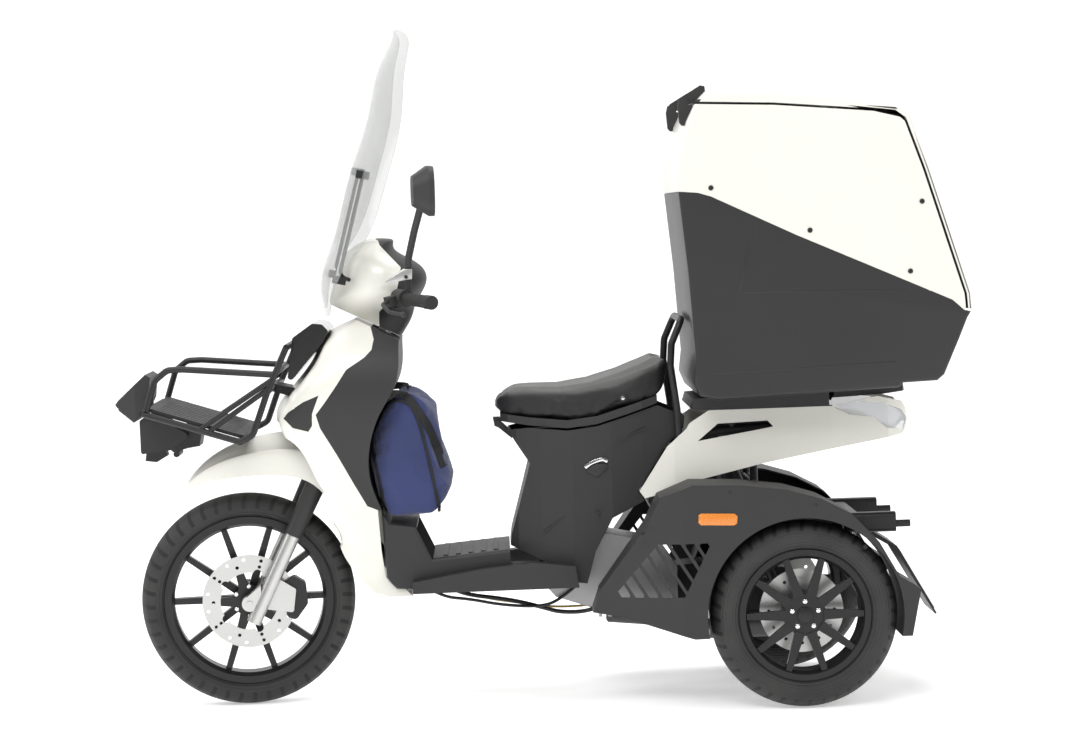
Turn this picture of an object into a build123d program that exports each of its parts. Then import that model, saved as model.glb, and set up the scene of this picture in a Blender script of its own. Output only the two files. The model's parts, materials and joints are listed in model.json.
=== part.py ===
from build123d import *
import os
from math import cos, radians, sin

# Cargo scooter with one steered wheel in front and a pair of driven wheels behind.
# Millimetres. +X is forward, +Y is the rider's left, +Z is up, and the ground is Z = 0.
# Places along the vehicle are measured forward from the rear axle, and rear_axle_x puts
# the origin below the middle of the whole vehicle.
os.makedirs("parts", exist_ok=True)

# Running gear
rear_axle_x = -640.0
wheelbase = 1403.0
track_half = 320.0
front_radius = 275.0
front_width = 92.0
front_seat_radius = 203.0
front_flange_radius = 217.0
rear_radius = 233.0
rear_width = 120.0
rear_seat_radius = 152.0
rear_flange_radius = 163.0
tyre_gap = 0.3

# Steering
rake = 26.0
trail = 92.0
steer_rest = 6.0
leg_spread = 80.0
leg_offset = 8.0
leg_radius = 19.0
yoke_height = 690.0
yoke_depth = 32.0
head_low = 738.0
head_high = 975.0
head_radius = 29.0
stem_radius = 17.0
running_gap = 0.3
seat_gap = 0.4

# Bodywork
panel = 3.5
shut_gap = 0.8
moving_gap = 6.0

# Load box
box_half = 300.0
box_wall = 5.0

# Rack in front
rack_half = 242.0
rack_tube = 8.0


def side(y=0.0):
    """Upright plane along the vehicle: x forward from the rear axle, y up."""
    return Plane(origin=(rear_axle_x, y, 0), x_dir=(1, 0, 0), z_dir=(0, -1, 0))


def across(x):
    """Upright plane across the vehicle at x ahead of the rear axle: x to the left, y up."""
    return Plane(origin=(rear_axle_x + x, 0, 0), x_dir=(0, 1, 0), z_dir=(1, 0, 0))


def level(z):
    """Level plane at a height: x forward from the rear axle, y to the left."""
    return Plane(origin=(rear_axle_x, 0, z))


# The steering axis leans back by the rake and meets the ground ahead of the tyre.
steer_foot = Vector(rear_axle_x + wheelbase + trail, 0, 0)
steer_up = Vector(-sin(radians(rake)), 0, cos(radians(rake)))
turned = Location(steer_foot, (0, 0, 0)) * Location((0, 0, 0), steer_up, steer_rest)
turned = turned * Location(steer_foot * -1, (0, 0, 0))


def steered(plane):
    """The same plane after the steering is turned to where it is parked."""
    return Plane(turned * plane.location)


def column(height):
    """Plane square to the steering axis: x to the left, y rearward."""
    square = Plane(origin=steer_foot, x_dir=(0, 1, 0), z_dir=steer_up)
    return square.offset(height)


def along_column(x, z):
    """Height up the steering axis, and distance ahead of it, of a place seen from the side."""
    back = x - wheelbase - trail
    height = -back * sin(radians(rake)) + z * cos(radians(rake))
    ahead = back * cos(radians(rake)) + z * sin(radians(rake))
    return height, ahead


axle_ahead = along_column(wheelbase, front_radius)[1]


def closed(points):
    """Closed outline through straight runs."""
    Polyline(*points, close=True)


def profile_solid(plane, points, half, rounding=0.0):
    """Outline drawn seen from the side and made half as wide each way."""
    with BuildPart() as made:
        with BuildSketch(plane):
            with BuildLine():
                closed(points)
            make_face()
            if rounding:
                fillet(vertices(), rounding)
        extrude(amount=half, both=True)
    return made.part


def hub_plane(x, y, z, outboard=1):
    """Plane through a wheel's centre: x outboard along the axle, y up."""
    return Plane(origin=(rear_axle_x + x, y, z), x_dir=(0, outboard, 0), z_dir=(outboard, 0, 0))


def face_plane(hub):
    """Plane square to the axle at a wheel's centre, facing outboard."""
    return Plane(origin=hub.origin, x_dir=hub.z_dir * -1, z_dir=hub.x_dir)


front_hub = steered(hub_plane(wheelbase, 0, front_radius))
left_hub = hub_plane(0, track_half, rear_radius, 1)
right_hub = hub_plane(0, -track_half, rear_radius, -1)


def make_tyre(hub, radius, width, seat, flange, bead):
    """Tyre with rounded walls that bulge past the rim's flanges."""
    shoulder = width * 0.40
    shoulder_radius = radius - width * 0.13
    wall_radius = (flange + shoulder_radius) / 2
    with BuildPart() as made:
        with BuildSketch(hub):
            with BuildLine():
                Line((-bead, seat), (-bead, flange + 1))
                ThreePointArc((-bead, flange + 1), (-width / 2, wall_radius), (-shoulder, shoulder_radius))
                ThreePointArc((-shoulder, shoulder_radius), (0, radius), (shoulder, shoulder_radius))
                ThreePointArc((shoulder, shoulder_radius), (width / 2, wall_radius), (bead, flange + 1))
                Line((bead, flange + 1), (bead, seat))
                Line((bead, seat), (-bead, seat))
            make_face()
        revolve(axis=Axis(hub.origin, hub.x_dir))
    return made.part


def make_rim(hub, seat, flange, bead, spokes, hub_radius, hub_span, bore):
    """Cast rim: channel, straight spokes and hub in one piece."""
    thick = 5.0
    well = seat - 12.0
    count, inner_width, outer_width, spoke_span = spokes
    face = face_plane(hub)
    with BuildPart() as made:
        with BuildSketch(hub):
            with BuildLine():
                closed([
                    (-bead - thick, flange), (-bead - tyre_gap, flange),
                    (-bead - tyre_gap, seat - tyre_gap),
                    (bead + tyre_gap, seat - tyre_gap), (bead + tyre_gap, flange), (bead + thick, flange),
                    (bead + thick, seat - 4), (bead - 8, well), (-bead + 8, well),
                    (-bead - thick, seat - 4),
                ])
            make_face()
        revolve(axis=Axis(hub.origin, hub.x_dir))
        with BuildSketch(face.offset(hub_span[0])):
            Circle(hub_radius)
        extrude(amount=hub_span[1] - hub_span[0])
        with BuildSketch(face.offset(spoke_span[0])):
            for turn in range(count):
                with BuildLine(Plane.XY.rotated((0, 0, turn * 360 / count))):
                    closed([
                        (hub_radius - 6, -inner_width / 2), (well + 5, -outer_width / 2),
                        (well + 5, outer_width / 2), (hub_radius - 6, inner_width / 2),
                    ])
                make_face()
        extrude(amount=spoke_span[1] - spoke_span[0])
        with BuildSketch(face.offset(hub_span[0])):
            Circle(bore)
        extrude(amount=hub_span[1] - hub_span[0], mode=Mode.SUBTRACT)
    return made.part


def make_disc(hub, place, outer, inner, thick, scallops, rings):
    """Brake disc with a scalloped inner edge and drilled rings."""
    face = face_plane(hub)
    with BuildPart() as made:
        with BuildSketch(face.offset(place)):
            Circle(outer)
            Circle(inner, mode=Mode.SUBTRACT)
            with PolarLocations(inner, scallops):
                Circle(outer * 0.09, mode=Mode.SUBTRACT)
            for ring_radius, ring_count, hole in rings:
                with PolarLocations(ring_radius, ring_count):
                    Circle(hole, mode=Mode.SUBTRACT)
        extrude(amount=thick)
    return made.part


front_bead = 30.0
front_disc_place = 46.0
front_disc_radius = 120.0
front_disc_inner = 74.0
disc_thick = 4.0
front_hub_half = 40.0
axle_radius = 8.0

front_tyre = make_tyre(
    front_hub, front_radius, front_width, front_seat_radius, front_flange_radius, front_bead,
)
front_tyre.label = "front_tyre"
export_step(front_tyre, "parts/front_tyre.step")

front_rim = make_rim(
    front_hub, front_seat_radius, front_flange_radius, front_bead,
    (10, 20.0, 15.0, (-11.0, 11.0)), 40.0, (-front_hub_half, front_disc_place), axle_radius + running_gap,
)
spider_half = 9.0
spider_reach = 86.0
spider_thick = 8.0
with BuildPart() as front_rim_made:
    add(front_rim)
    with BuildSketch(face_plane(front_hub).offset(front_disc_place - spider_thick)):
        for turn in range(5):
            with BuildLine(Plane.XY.rotated((0, 0, 36 + turn * 72))):
                closed([
                    (36, -spider_half - 5), (spider_reach, -spider_half), (spider_reach, spider_half),
                    (36, spider_half + 5),
                ])
            make_face()
    extrude(amount=spider_thick)
front_rim = front_rim_made.part
front_rim.label = "front_rim"
export_step(front_rim, "parts/front_rim.step")

front_disc = make_disc(
    front_hub, front_disc_place, front_disc_radius, front_disc_inner, disc_thick,
    5, [(92.0, 10, 4.5), (108.0, 15, 4.5)],
)
front_disc.label = "front_disc"
export_step(front_disc, "parts/front_disc.step")

rear_bead = 42.0
rear_disc_place = -50.0
rear_disc_radius = 105.0
rear_hub_radius = 52.0
rear_face = 44.0
stub_radius = 15.0
rear_wheels = {"rear_left": left_hub, "rear_right": right_hub}
for wheel, hub in rear_wheels.items():
    tyre = make_tyre(hub, rear_radius, rear_width, rear_seat_radius, rear_flange_radius, rear_bead)
    tyre.label = wheel + "_tyre"
    export_step(tyre, "parts/" + wheel + "_tyre.step")

    rim = make_rim(
        hub, rear_seat_radius, rear_flange_radius, rear_bead,
        (10, 26.0, 15.0, (rear_face - 16.0, rear_face)), rear_hub_radius,
        (rear_disc_place + disc_thick, rear_face - 4.0), stub_radius + running_gap,
    )
    rim.label = wheel + "_rim"
    export_step(rim, "parts/" + wheel + "_rim.step")

    disc = make_disc(
        hub, rear_disc_place, rear_disc_radius, 44.0, disc_thick, 5, [(82.0, 12, 4.5)],
    )
    disc.label = wheel + "_disc"
    export_step(disc, "parts/" + wheel + "_disc.step")

# Fork: stem in the head tube, lower yoke, two sliding legs and the wheel spindle.
leg_low = 246.0
calliper_inner = front_disc_place - 16.0
calliper_depth = 36.0
slider_top = 512.0
stanchion_radius = 15.0
stem_top = 1118.0
axle_lug_radius = 20.0
yoke = steered(column(yoke_height))
legs = [(-leg_spread, -leg_offset), (leg_spread, -leg_offset)]
with BuildPart() as fork:
    with BuildSketch(yoke):
        with BuildLine():
            closed([
                (-leg_spread - 20, -leg_offset - 20), (leg_spread + 20, -leg_offset - 20),
                (leg_spread + 20, -leg_offset + 20), (30, 30), (-30, 30),
                (-leg_spread - 20, -leg_offset + 20),
            ])
        make_face()
        fillet(vertices(), 12)
    extrude(amount=yoke_depth)
    with BuildSketch(yoke):
        Circle(stem_radius)
    extrude(amount=stem_top - yoke_height)
    with BuildSketch(steered(column(slider_top))):
        with Locations(*legs):
            Circle(stanchion_radius)
    extrude(amount=yoke_height - slider_top)
    with BuildSketch(steered(column(leg_low))):
        with Locations(*legs):
            Circle(leg_radius)
    extrude(amount=slider_top - leg_low)
    for at in (-leg_spread, leg_spread):
        lug = face_plane(front_hub).offset(at)
        leg_back = axle_ahead - leg_offset
        with BuildSketch(lug):
            Circle(axle_lug_radius)
            with BuildLine():
                closed([(0, -axle_lug_radius), (leg_back, -14), (leg_back, 46), (-6, axle_lug_radius - 2)])
            make_face()
        extrude(amount=13, both=True)
    with BuildSketch(face_plane(front_hub).offset(-leg_spread - 18)):
        Circle(axle_radius)
    extrude(amount=2 * leg_spread + 36)
    with BuildSketch(face_plane(front_hub).offset(calliper_inner + calliper_depth + seat_gap)):
        with BuildLine():
            closed([(24, -16), (112, -30), (120, 30), (66, 66), (40, 60)])
        make_face()
        fillet(vertices(), 6)
    extrude(amount=9)
fork.part.label = "fork"
export_step(fork.part, "parts/fork.step")

# Plastic shrouds over the upper legs, wider at the top.
shroud_low = 492.0
shroud_high = 668.0
shroud_flare = 8.0
shroud_wall = 3.0
with BuildPart() as fork_shrouds:
    for at in legs:
        with BuildSketch(steered(column(shroud_low))):
            with Locations(at):
                Circle(leg_radius + running_gap + shroud_wall)
        with BuildSketch(steered(column(shroud_high))):
            with Locations(at):
                Circle(leg_radius + shroud_flare)
        loft()
        with BuildSketch(steered(column(shroud_low))):
            with Locations(at):
                Circle(leg_radius + running_gap)
        with BuildSketch(steered(column(shroud_high))):
            with Locations(at):
                Circle(leg_radius + shroud_flare - shroud_wall)
        loft(mode=Mode.SUBTRACT)
fork_shrouds.part.label = "fork_shrouds"
export_step(fork_shrouds.part, "parts/fork_shrouds.step")

# Front mudguard: an arched shell, pointed in front and open behind for the fork.
# Each station gives the place along, the height of the edge, the crown and half the width.
guard_stations = [
    (1548.0, 574.0, 584.0, 12.0),
    (1495.0, 588.0, 640.0, 48.0),
    (1423.0, 601.0, 677.0, 78.0),
    (1345.0, 606.0, 696.0, 96.0),
    (1274.0, 598.0, 702.0, 105.0),
    (1205.0, 552.0, 698.0, 107.0),
]


def guard_form(inset):
    """Solid under the mudguard's arches, brought in by a wall."""
    with BuildPart() as form:
        for x, edge, crown, half in guard_stations:
            low = edge - 6 if inset else edge
            wide = max(half - inset, 4)
            bend = edge + (crown - edge) * 0.68 - inset
            with BuildSketch(steered(across(x))):
                with BuildLine():
                    Spline(
                        (-wide, low), (-wide * 0.86, bend), (0, crown - inset),
                        (wide * 0.86, bend), (wide, low),
                        tangents=[(-0.1, 1), (-0.1, -1)],
                    )
                    Line((wide, low), (-wide, low))
                make_face()
        loft()
    return form.part


with BuildPart() as mudguard:
    add(guard_form(0))
    add(guard_form(panel), mode=Mode.SUBTRACT)
    with BuildSketch(steered(column(yoke_height - seat_gap))):
        Rectangle(2 * (leg_spread + 20 + seat_gap), 64)
    extrude(amount=yoke_depth, mode=Mode.SUBTRACT)
    with BuildSketch(steered(column(shroud_low))):
        with Locations(*legs):
            Circle(leg_radius + shroud_flare + seat_gap)
    extrude(amount=300, mode=Mode.SUBTRACT)
mudguard.part.label = "front_mudguard"
export_step(mudguard.part, "parts/front_mudguard.step")


# Brake calliper astride the front disc, bolted behind the left leg.
with BuildPart() as brake_calliper:
    with BuildSketch(face_plane(front_hub).offset(calliper_inner)):
        with BuildLine():
            closed([(94, -42), (118, -52), (150, -10), (146, 44), (118, 62), (94, 50)])
        make_face()
        fillet(vertices(), 12)
    extrude(amount=calliper_depth)
    with BuildSketch(face_plane(front_hub).offset(front_disc_place - 1.5)):
        Circle(front_disc_radius + 4)
    extrude(amount=disc_thick + 3, mode=Mode.SUBTRACT)
brake_calliper.part.label = "front_calliper"
export_step(brake_calliper.part, "parts/front_calliper.step")

# Handlebar: clamp on the stem, two bends and straight grips, with weights in its ends.
bar_radius = 11.0
grip_radius = 16.0
bar_end_radius = 17.5
bar_route = [
    Vector(rear_axle_x + 985, 0, 1022), Vector(rear_axle_x + 1000, 70, 1030),
    Vector(rear_axle_x + 1004, 150, 1052), Vector(rear_axle_x + 934, 345, 1050),
]
grip_to = 0.86
grip_run = bar_route[3] - bar_route[2]


def mirrored(point):
    """The same place on the vehicle's right."""
    return Vector(point.X, -point.Y, point.Z)


def bar_point(share):
    """Place along the straight run that carries the grip."""
    return bar_route[2] + grip_run * share


def steered_point(point):
    """A place after the steering is turned."""
    return (turned * Location(point)).position


def plane_along(start, end):
    """Plane at a place, square to the run to the next."""
    return Plane(origin=start, z_dir=(end - start).normalized())


def round_run(stops, radius, bend=32.0):
    """Bent round bar through the given places."""
    with BuildPart() as made:
        with BuildLine() as route:
            if len(stops) == 2:
                Line(*stops)
            else:
                FilletPolyline(*stops, radius=bend)
        with BuildSketch(plane_along(stops[0], stops[1])):
            Circle(radius)
        sweep(path=route.line)
    return made.part


bar_half_stops = [steered_point(p) for p in bar_route]
bar_other_stops = [steered_point(mirrored(p)) for p in bar_route]
full_bar = [p for p in reversed(bar_other_stops[1:])] + bar_half_stops[1:]
with BuildPart() as handlebar:
    add(round_run(full_bar, bar_radius))
    for point_of in (lambda p: p, mirrored):
        tip = steered_point(point_of(bar_point(grip_to + 0.02)))
        end = steered_point(point_of(bar_point(1.04)))
        with BuildSketch(plane_along(tip, end)):
            Circle(bar_end_radius)
        extrude(amount=(end - tip).length)
    with BuildSketch(steered(column(stem_top + running_gap))):
        Circle(24)
    extrude(amount=38)
handlebar.part.label = "handlebar"
export_step(handlebar.part, "parts/handlebar.step")


# Front shield: one hollow form in level sections, split where its real panels meet.
# Each section gives the height, the nose, the widest place, the back and half the width.
shield_sections = [
    (284.0, 1172.0, 1070.0, 975.0, 150.0),
    (400.0, 1195.0, 1108.0, 1010.0, 158.0),
    (508.0, 1215.0, 1130.0, 1046.0, 168.0),
    (600.0, 1252.0, 1165.0, 1074.0, 182.0),
    (690.0, 1296.0, 1205.0, 1066.0, 200.0),
    (745.0, 1316.0, 1222.0, 1046.0, 208.0),
    (819.0, 1272.0, 1180.0, 1004.0, 210.0),
    (900.0, 1210.0, 1122.0, 990.0, 188.0),
    (975.0, 1142.0, 1072.0, 968.0, 130.0),
    (1020.0, 1104.0, 1046.0, 950.0, 96.0),
]
collar_height = 1064.0
neck_hole = 38.0


def shield_form(inset):
    """Solid of the shield's outside, brought in by a wall, cut square to the steering at the collar."""
    with BuildPart() as form:
        for z, nose, wide_at, back, half in shield_sections:
            drop = nose - wide_at
            wide = half - inset
            with BuildSketch(level(z + inset if z == shield_sections[0][0] else z)):
                with BuildLine():
                    Spline(
                        (wide_at, -wide), (nose - 0.24 * drop, -0.62 * half), (nose - inset, 0),
                        (nose - 0.24 * drop, 0.62 * half), (wide_at, wide),
                        tangents=[(1, 0), (-1, 0)],
                    ) if not inset else Spline(
                        (wide_at, -wide), (nose - 0.24 * drop - inset, -0.62 * half + 0.5 * inset),
                        (nose - inset, 0), (nose - 0.24 * drop - inset, 0.62 * half - 0.5 * inset),
                        (wide_at, wide), tangents=[(1, 0), (-1, 0)],
                    )
                    Line((wide_at, wide), (back + inset, wide * 0.97))
                    Line((back + inset, wide * 0.97), (back + inset, -wide * 0.97))
                    Line((back + inset, -wide * 0.97), (wide_at, -wide))
                make_face()
        loft()
        split(bisect_by=column(collar_height - inset), keep=Keep.BOTTOM)
    return form.part


# Seen from the side: where the white shell stops against the black insert.
insert_edge = [
    (1076, 897), (1122, 868), (1148, 829), (1177, 789), (1202, 757),
    (1192, 722), (1154, 655), (1111, 572), (1082, 519), (1056, 508),
]
# The wheel arch, from the nose down behind the front tyre.
arch_upper = [(1316, 728), (1299, 708), (1272, 694), (1236, 654), (1210, 597)]
arch_radius = 318.0
arch_from = (1176.0, 545.0)
arch_to = (1074.0, 297.0)
nose_notch = [(1400, 738), (1290, 727), (1240, 718), (1190, 690), (1400, 600)]
nose_notch_half = 112.0


def arch_cut():
    """Everything ahead of the wheel arch's edge."""
    with BuildPart() as cut:
        with BuildSketch(side()):
            with BuildLine():
                Spline(*arch_upper, arch_from)
                RadiusArc(arch_from, arch_to, arch_radius)
                Polyline(arch_to, (1040, 286), (1040, 200), (1500, 200), (1500, 726), arch_upper[0])
            make_face()
        extrude(amount=400, both=True)
        add(profile_solid(side(), nose_notch, nose_notch_half))
    return cut.part


def side_region(points, half=400.0):
    """Prism over an outline seen from the side."""
    return profile_solid(side(), points, half)


white_region = side_region(
    [(1400, 1100), (1080, 1100), (1062, 980), (1052, 941), (1058, 915)] + insert_edge
    + [(1050, 400), (1042, 332), (1015, 304), (940, 298), (940, 200), (1400, 200)]
)
insert_region = side_region(
    [(x - shut_gap, z) for x, z in insert_edge] + [(1020, 508), (1046, 640), (1046, 740), (1030, 830), (1040, 880)]
)
intake_outline = [
    (1193, 806), (1233, 790), (1272, 765), (1284, 750), (1262, 726), (1222, 715), (1212, 730), (1211, 760),
]
intake_region = side_region(intake_outline)
shield_shell = shield_form(0) - shield_form(panel)
with BuildPart() as neck_opening:
    with BuildSketch(column(head_low)):
        Circle(neck_hole)
    extrude(amount=400)

with BuildPart() as leg_shield:
    add(shield_shell)
    add(white_region, mode=Mode.INTERSECT)
    add(arch_cut(), mode=Mode.SUBTRACT)
    add(intake_region, mode=Mode.SUBTRACT)
    add(neck_opening.part, mode=Mode.SUBTRACT)
leg_shield.part.label = "leg_shield"
export_step(leg_shield.part, "parts/leg_shield.step")

# Black inserts: a big one on each side and a small air intake ahead of it.
insert_inner = 150.0
insert_core = profile_solid(side(), [(900, 400), (1400, 400), (1400, 1100), (900, 1100)], insert_inner)
insert_room = profile_solid(
    side(), [(900, 400), (1400, 400), (1400, 1100), (900, 1100)], insert_inner - shut_gap,
)
with BuildPart() as shield_inserts:
    add(shield_shell)
    add(insert_region, mode=Mode.INTERSECT)
    add(insert_core, mode=Mode.SUBTRACT)
    with BuildPart(mode=Mode.PRIVATE) as intakes:
        add(shield_shell)
        with BuildSketch(side()):
            with BuildLine():
                closed(intake_outline)
            make_face()
            offset(amount=-shut_gap)
        extrude(amount=-400, mode=Mode.INTERSECT)
    add(intakes.part)
    add(mirror(intakes.part, about=Plane.XZ))
shield_inserts.part.label = "shield_inserts"
export_step(shield_inserts.part, "parts/shield_inserts.step")

# Inner panel on the rider's side, round the steering column.
with BuildPart() as knee_panel:
    add(shield_shell)
    add(white_region, mode=Mode.SUBTRACT)
    add(insert_region - insert_room, mode=Mode.SUBTRACT)
    add(side_region([(900, 200), (1060, 200), (1060, 507), (900, 507)]), mode=Mode.SUBTRACT)
    add(neck_opening.part, mode=Mode.SUBTRACT)
knee_panel.part.label = "knee_panel"
export_step(knee_panel.part, "parts/knee_panel.step")


def plan_region(points, low, high):
    """Prism over half an outline seen from above, mirrored to both sides."""
    with BuildPart() as made:
        with BuildSketch(level(low)):
            with BuildLine():
                closed(points + [(x, -y) for x, y in reversed(points)])
            make_face()
        extrude(amount=high - low)
    return made.part


def place(x, y, z):
    """Place given along, to the left and up."""
    return Vector(rear_axle_x + x, y, z)


# Frame: head tube, spine, two tubes below the floor that rise to carry the seat, tail and box.
frame_half = 116.0
frame_tube = 13.0
spine_tube = 20.0
frame_clearance = 0.5
spine_route = [
    place(1142, 0, 722), place(1102, 0, 645), place(1098, 0, 560), place(1078, 0, 400), place(1000, 0, 322),
]
rail_route = [(640, 320), (474, 500), (330, 590), (200, 676), (-150, 697)]


def frame_tubes(extra):
    """All the bent tubes of the frame, each thicker by an extra."""
    with BuildPart() as made:
        add(round_run(spine_route, spine_tube + extra, 60.0))
        for way in (-1, 1):
            stops = [place(1000, 0, 322), place(960, way * frame_half, 322)]
            stops = stops + [place(x, way * frame_half, z) for x, z in rail_route]
            add(round_run(stops, frame_tube + extra, 45.0))
        for x, z in ((760, 320.7), (538.6, 430), (285, 619.8), (200, 676), (-100, 692.7)):
            add(round_run([place(x, -frame_half, z), place(x, frame_half, z)], frame_tube + extra - 3))
    return made


frame_room = frame_tubes(frame_clearance)
# Bars that carry the wings, each with the height of its posts up to the rails.
wing_bar_half = 290.0
wing_bars = [(96.7, 541.3, 141.0), (356.6, 493.4, 80.0)]
rail_foot_half = 150.0
rail_foot_x = 285.0
rail_foot_z = 619.8
tray_under = 735.0
with BuildPart() as frame:
    add(frame_tubes(0.0).part)
    with BuildSketch(column(head_low)):
        Circle(head_radius)
    extrude(amount=head_high - head_low)
    with BuildPart(mode=Mode.PRIVATE) as shield_stay:
        add(profile_solid(side(), [(900, 792), (1350, 792), (1350, 808), (900, 808)], 30))
        add(shield_form(panel + running_gap), mode=Mode.INTERSECT)
    add(shield_stay.part)
    with BuildSketch(column(head_low - 60)):
        Circle(stem_radius + running_gap)
    extrude(amount=400, mode=Mode.SUBTRACT)
    for x, z, rise in wing_bars:
        add(round_run([place(x, -wing_bar_half, z), place(x, wing_bar_half, z)], 10))
        for way in (-1, 1):
            add(round_run([place(x, way * frame_half, z), place(x, way * frame_half, z + rise)], 10))
    add(round_run([
        place(rail_foot_x, -rail_foot_half - 6, rail_foot_z), place(rail_foot_x, rail_foot_half + 6, rail_foot_z),
    ], frame_tube - 3))
    for x, z in ((150, 679), (-100, 693)):
        for way in (-1, 1):
            with BuildSketch(level(z)):
                with Locations((x, way * frame_half)):
                    Circle(9)
            extrude(amount=tray_under - 0.3 - z)
frame.part.label = "frame"
export_step(frame.part, "parts/frame.step")

# Footboard: raised floor with a toe bulge in front, on a wider sill, hollow from below.
floor_half = 158.0
sill_half = 196.0
floor_outline = [
    (1048, 505), (1026, 472), (960, 463), (921, 380), (724, 397), (724, 301), (940, 301),
    (1013, 307), (1039, 334),
]
sill_outline = [(973, 324), (800, 352), (665, 365), (560, 352), (552, 298), (973, 295)]
sill_gap_half = 153.0
with BuildPart() as footboard:
    add(profile_solid(side(), floor_outline, floor_half))
    fillet([e for e in footboard.edges() if abs(abs(e.center().Y) - floor_half) < 0.1
            and e.center().Z > 372], 10)
    add(profile_solid(side(), sill_outline, sill_half))
    add(profile_solid(side(), [
        (1048 - panel, 505 - 2 * panel), (1028, 472 - panel), (957, 463 - panel), (918, 380 - panel),
        (724 + panel, 397 - panel), (724 + panel, 280), (1012, 280), (1039 - panel, 334),
    ], floor_half - panel), mode=Mode.SUBTRACT)
    add(profile_solid(side(), [
        (973 - panel, 324 - panel), (800, 352 - panel), (665, 365 - panel), (560 + panel, 352 - panel),
        (552 + panel, 280), (973 - panel, 280),
    ], sill_half - panel), mode=Mode.SUBTRACT)
    add(profile_solid(side(), [(724, 280), (724, 420), (540, 420), (540, 280)], sill_gap_half), mode=Mode.SUBTRACT)
    with BuildSketch(side()):
        with Locations(*[(760 + 32 * k, 397 - (36 + 32 * k) * 17 / 197) for k in range(5)]):
            Rectangle(12, 5)
    extrude(amount=floor_half - 26, both=True)
    add(frame_room.part, mode=Mode.SUBTRACT)
footboard.part.label = "footboard"
export_step(footboard.part, "parts/footboard.step")


def shaped(outline, plan, low=150.0, high=1000.0):
    """Solid with one outline seen from the side and another seen from above."""
    with BuildPart() as made:
        add(side_region(outline))
        add(plan_region(plan, low, high), mode=Mode.INTERSECT)
    return made.part


unit_half = 84.0
hinge_at = (744.0, 706.0)
hinge_pin = 4.0
seat_eye_half = 12.0

# Body under the seat: a hollow shell, open on top below the seat, with a floor for the luggage.
seat_under = [(739, 718), (669, 708), (568, 699), (494, 708), (417, 731), (340, 756)]
body_low = [
    (722, 400), (660, 372), (625, 356), (600, 312), (530, 302), (506, 385), (461, 467),
    (378, 508), (395, 532),
    (320, 646), (274, 690), (270, 720),
]
body_front = [(720, 694), (700, 662), (667, 611), (692, 520), (718, 430)]
body_plan = [(750, 66), (734, 78), (700, 108), (640, 138), (560, 150), (460, 152), (380, 144), (262, 128)]
body_top = [(x, z - moving_gap) for x, z in reversed(seat_under[1:])]
bucket_front = 690.0
bucket_back = 402.0
bucket_floor = 470.0
bucket_top = 684.0
bucket_half = 98.0
with BuildPart() as underseat_body:
    add(shaped(body_front + body_low + body_top, body_plan))
    body_inner = [(x - panel, z) for x, z in body_front] + [(716, 404), (655, 300), (540, 290)]
    body_inner = body_inner + [(x + panel + 1, z + 2) for x, z in body_low[5:]]
    body_inner = body_inner + [(x, z + 30) for x, z in body_top] + [(700, 760)]
    add(shaped(body_inner, [(x, y - panel) for x, y in body_plan]), mode=Mode.SUBTRACT)
    with BuildPart(mode=Mode.PRIVATE) as bucket:
        with BuildSketch(level(bucket_top)):
            with Locations(((bucket_front + bucket_back) / 2, 0)):
                Rectangle(bucket_front - bucket_back + 120, 400)
        extrude(amount=-panel)
        with BuildSketch(level(bucket_floor)):
            with Locations(((bucket_front + bucket_back) / 2, 0)):
                Rectangle(bucket_front - bucket_back, 2 * bucket_half)
        extrude(amount=bucket_top - bucket_floor - 1)
        with BuildSketch(level(bucket_floor + panel)):
            with Locations(((bucket_front + bucket_back) / 2, 0)):
                Rectangle(bucket_front - bucket_back - 2 * panel, 2 * (bucket_half - panel))
        extrude(amount=bucket_top, mode=Mode.SUBTRACT)
        add(shaped(body_front + body_low + body_top, [(x, y - 1) for x, y in body_plan]), mode=Mode.INTERSECT)
    add(bucket.part)
    add(frame_room.part, mode=Mode.SUBTRACT)
    add(profile_solid(side(), [(440, 436), (570, 436), (570, 280), (440, 280)], unit_half + 12), mode=Mode.SUBTRACT)
    with BuildPart(mode=Mode.PRIVATE) as hinge_lugs:
        with BuildSketch(side()):
            with BuildLine():
                closed([(706, 682), (740, 714), (751, 703), (710, 668)])
            make_face()
            with Locations(hinge_at):
                Circle(8.5)
        extrude(amount=seat_eye_half + 6.5, both=True)
        with BuildSketch(side()):
            with BuildLine():
                closed([(719, 740), (719, 660), (780, 660), (780, 740)])
            make_face()
        extrude(amount=seat_eye_half + 0.5, both=True, mode=Mode.SUBTRACT)
        with BuildSketch(side()):
            with Locations(hinge_at):
                Circle(hinge_pin)
        extrude(amount=seat_eye_half + 6.5, both=True)
    add(hinge_lugs.part)
underseat_body.part.label = "underseat_body"
export_step(underseat_body.part, "parts/underseat_body.step")

# Seat: cushion on a thin pan that turns on a pin at the nose.
seat_over = [
    (318, 800), (308, 866), (320, 881), (355, 860), (433, 830), (511, 808), (587, 798),
    (664, 799), (730, 798),
    (752, 786), (764, 760),
]
seat_plan = [
    (766, 30), (755, 66), (720, 100), (660, 130), (580, 152), (480, 165), (380, 165), (330, 150),
    (300, 112),
]
pan_depth = 20.0
cushion_low = [(x, z + pan_depth + shut_gap) for x, z in seat_under]
with BuildPart() as seat_cushion:
    add(shaped(seat_over + cushion_low, seat_plan))
seat_cushion.part.label = "seat_cushion"
export_step(seat_cushion.part, "parts/seat_cushion.step")

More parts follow.
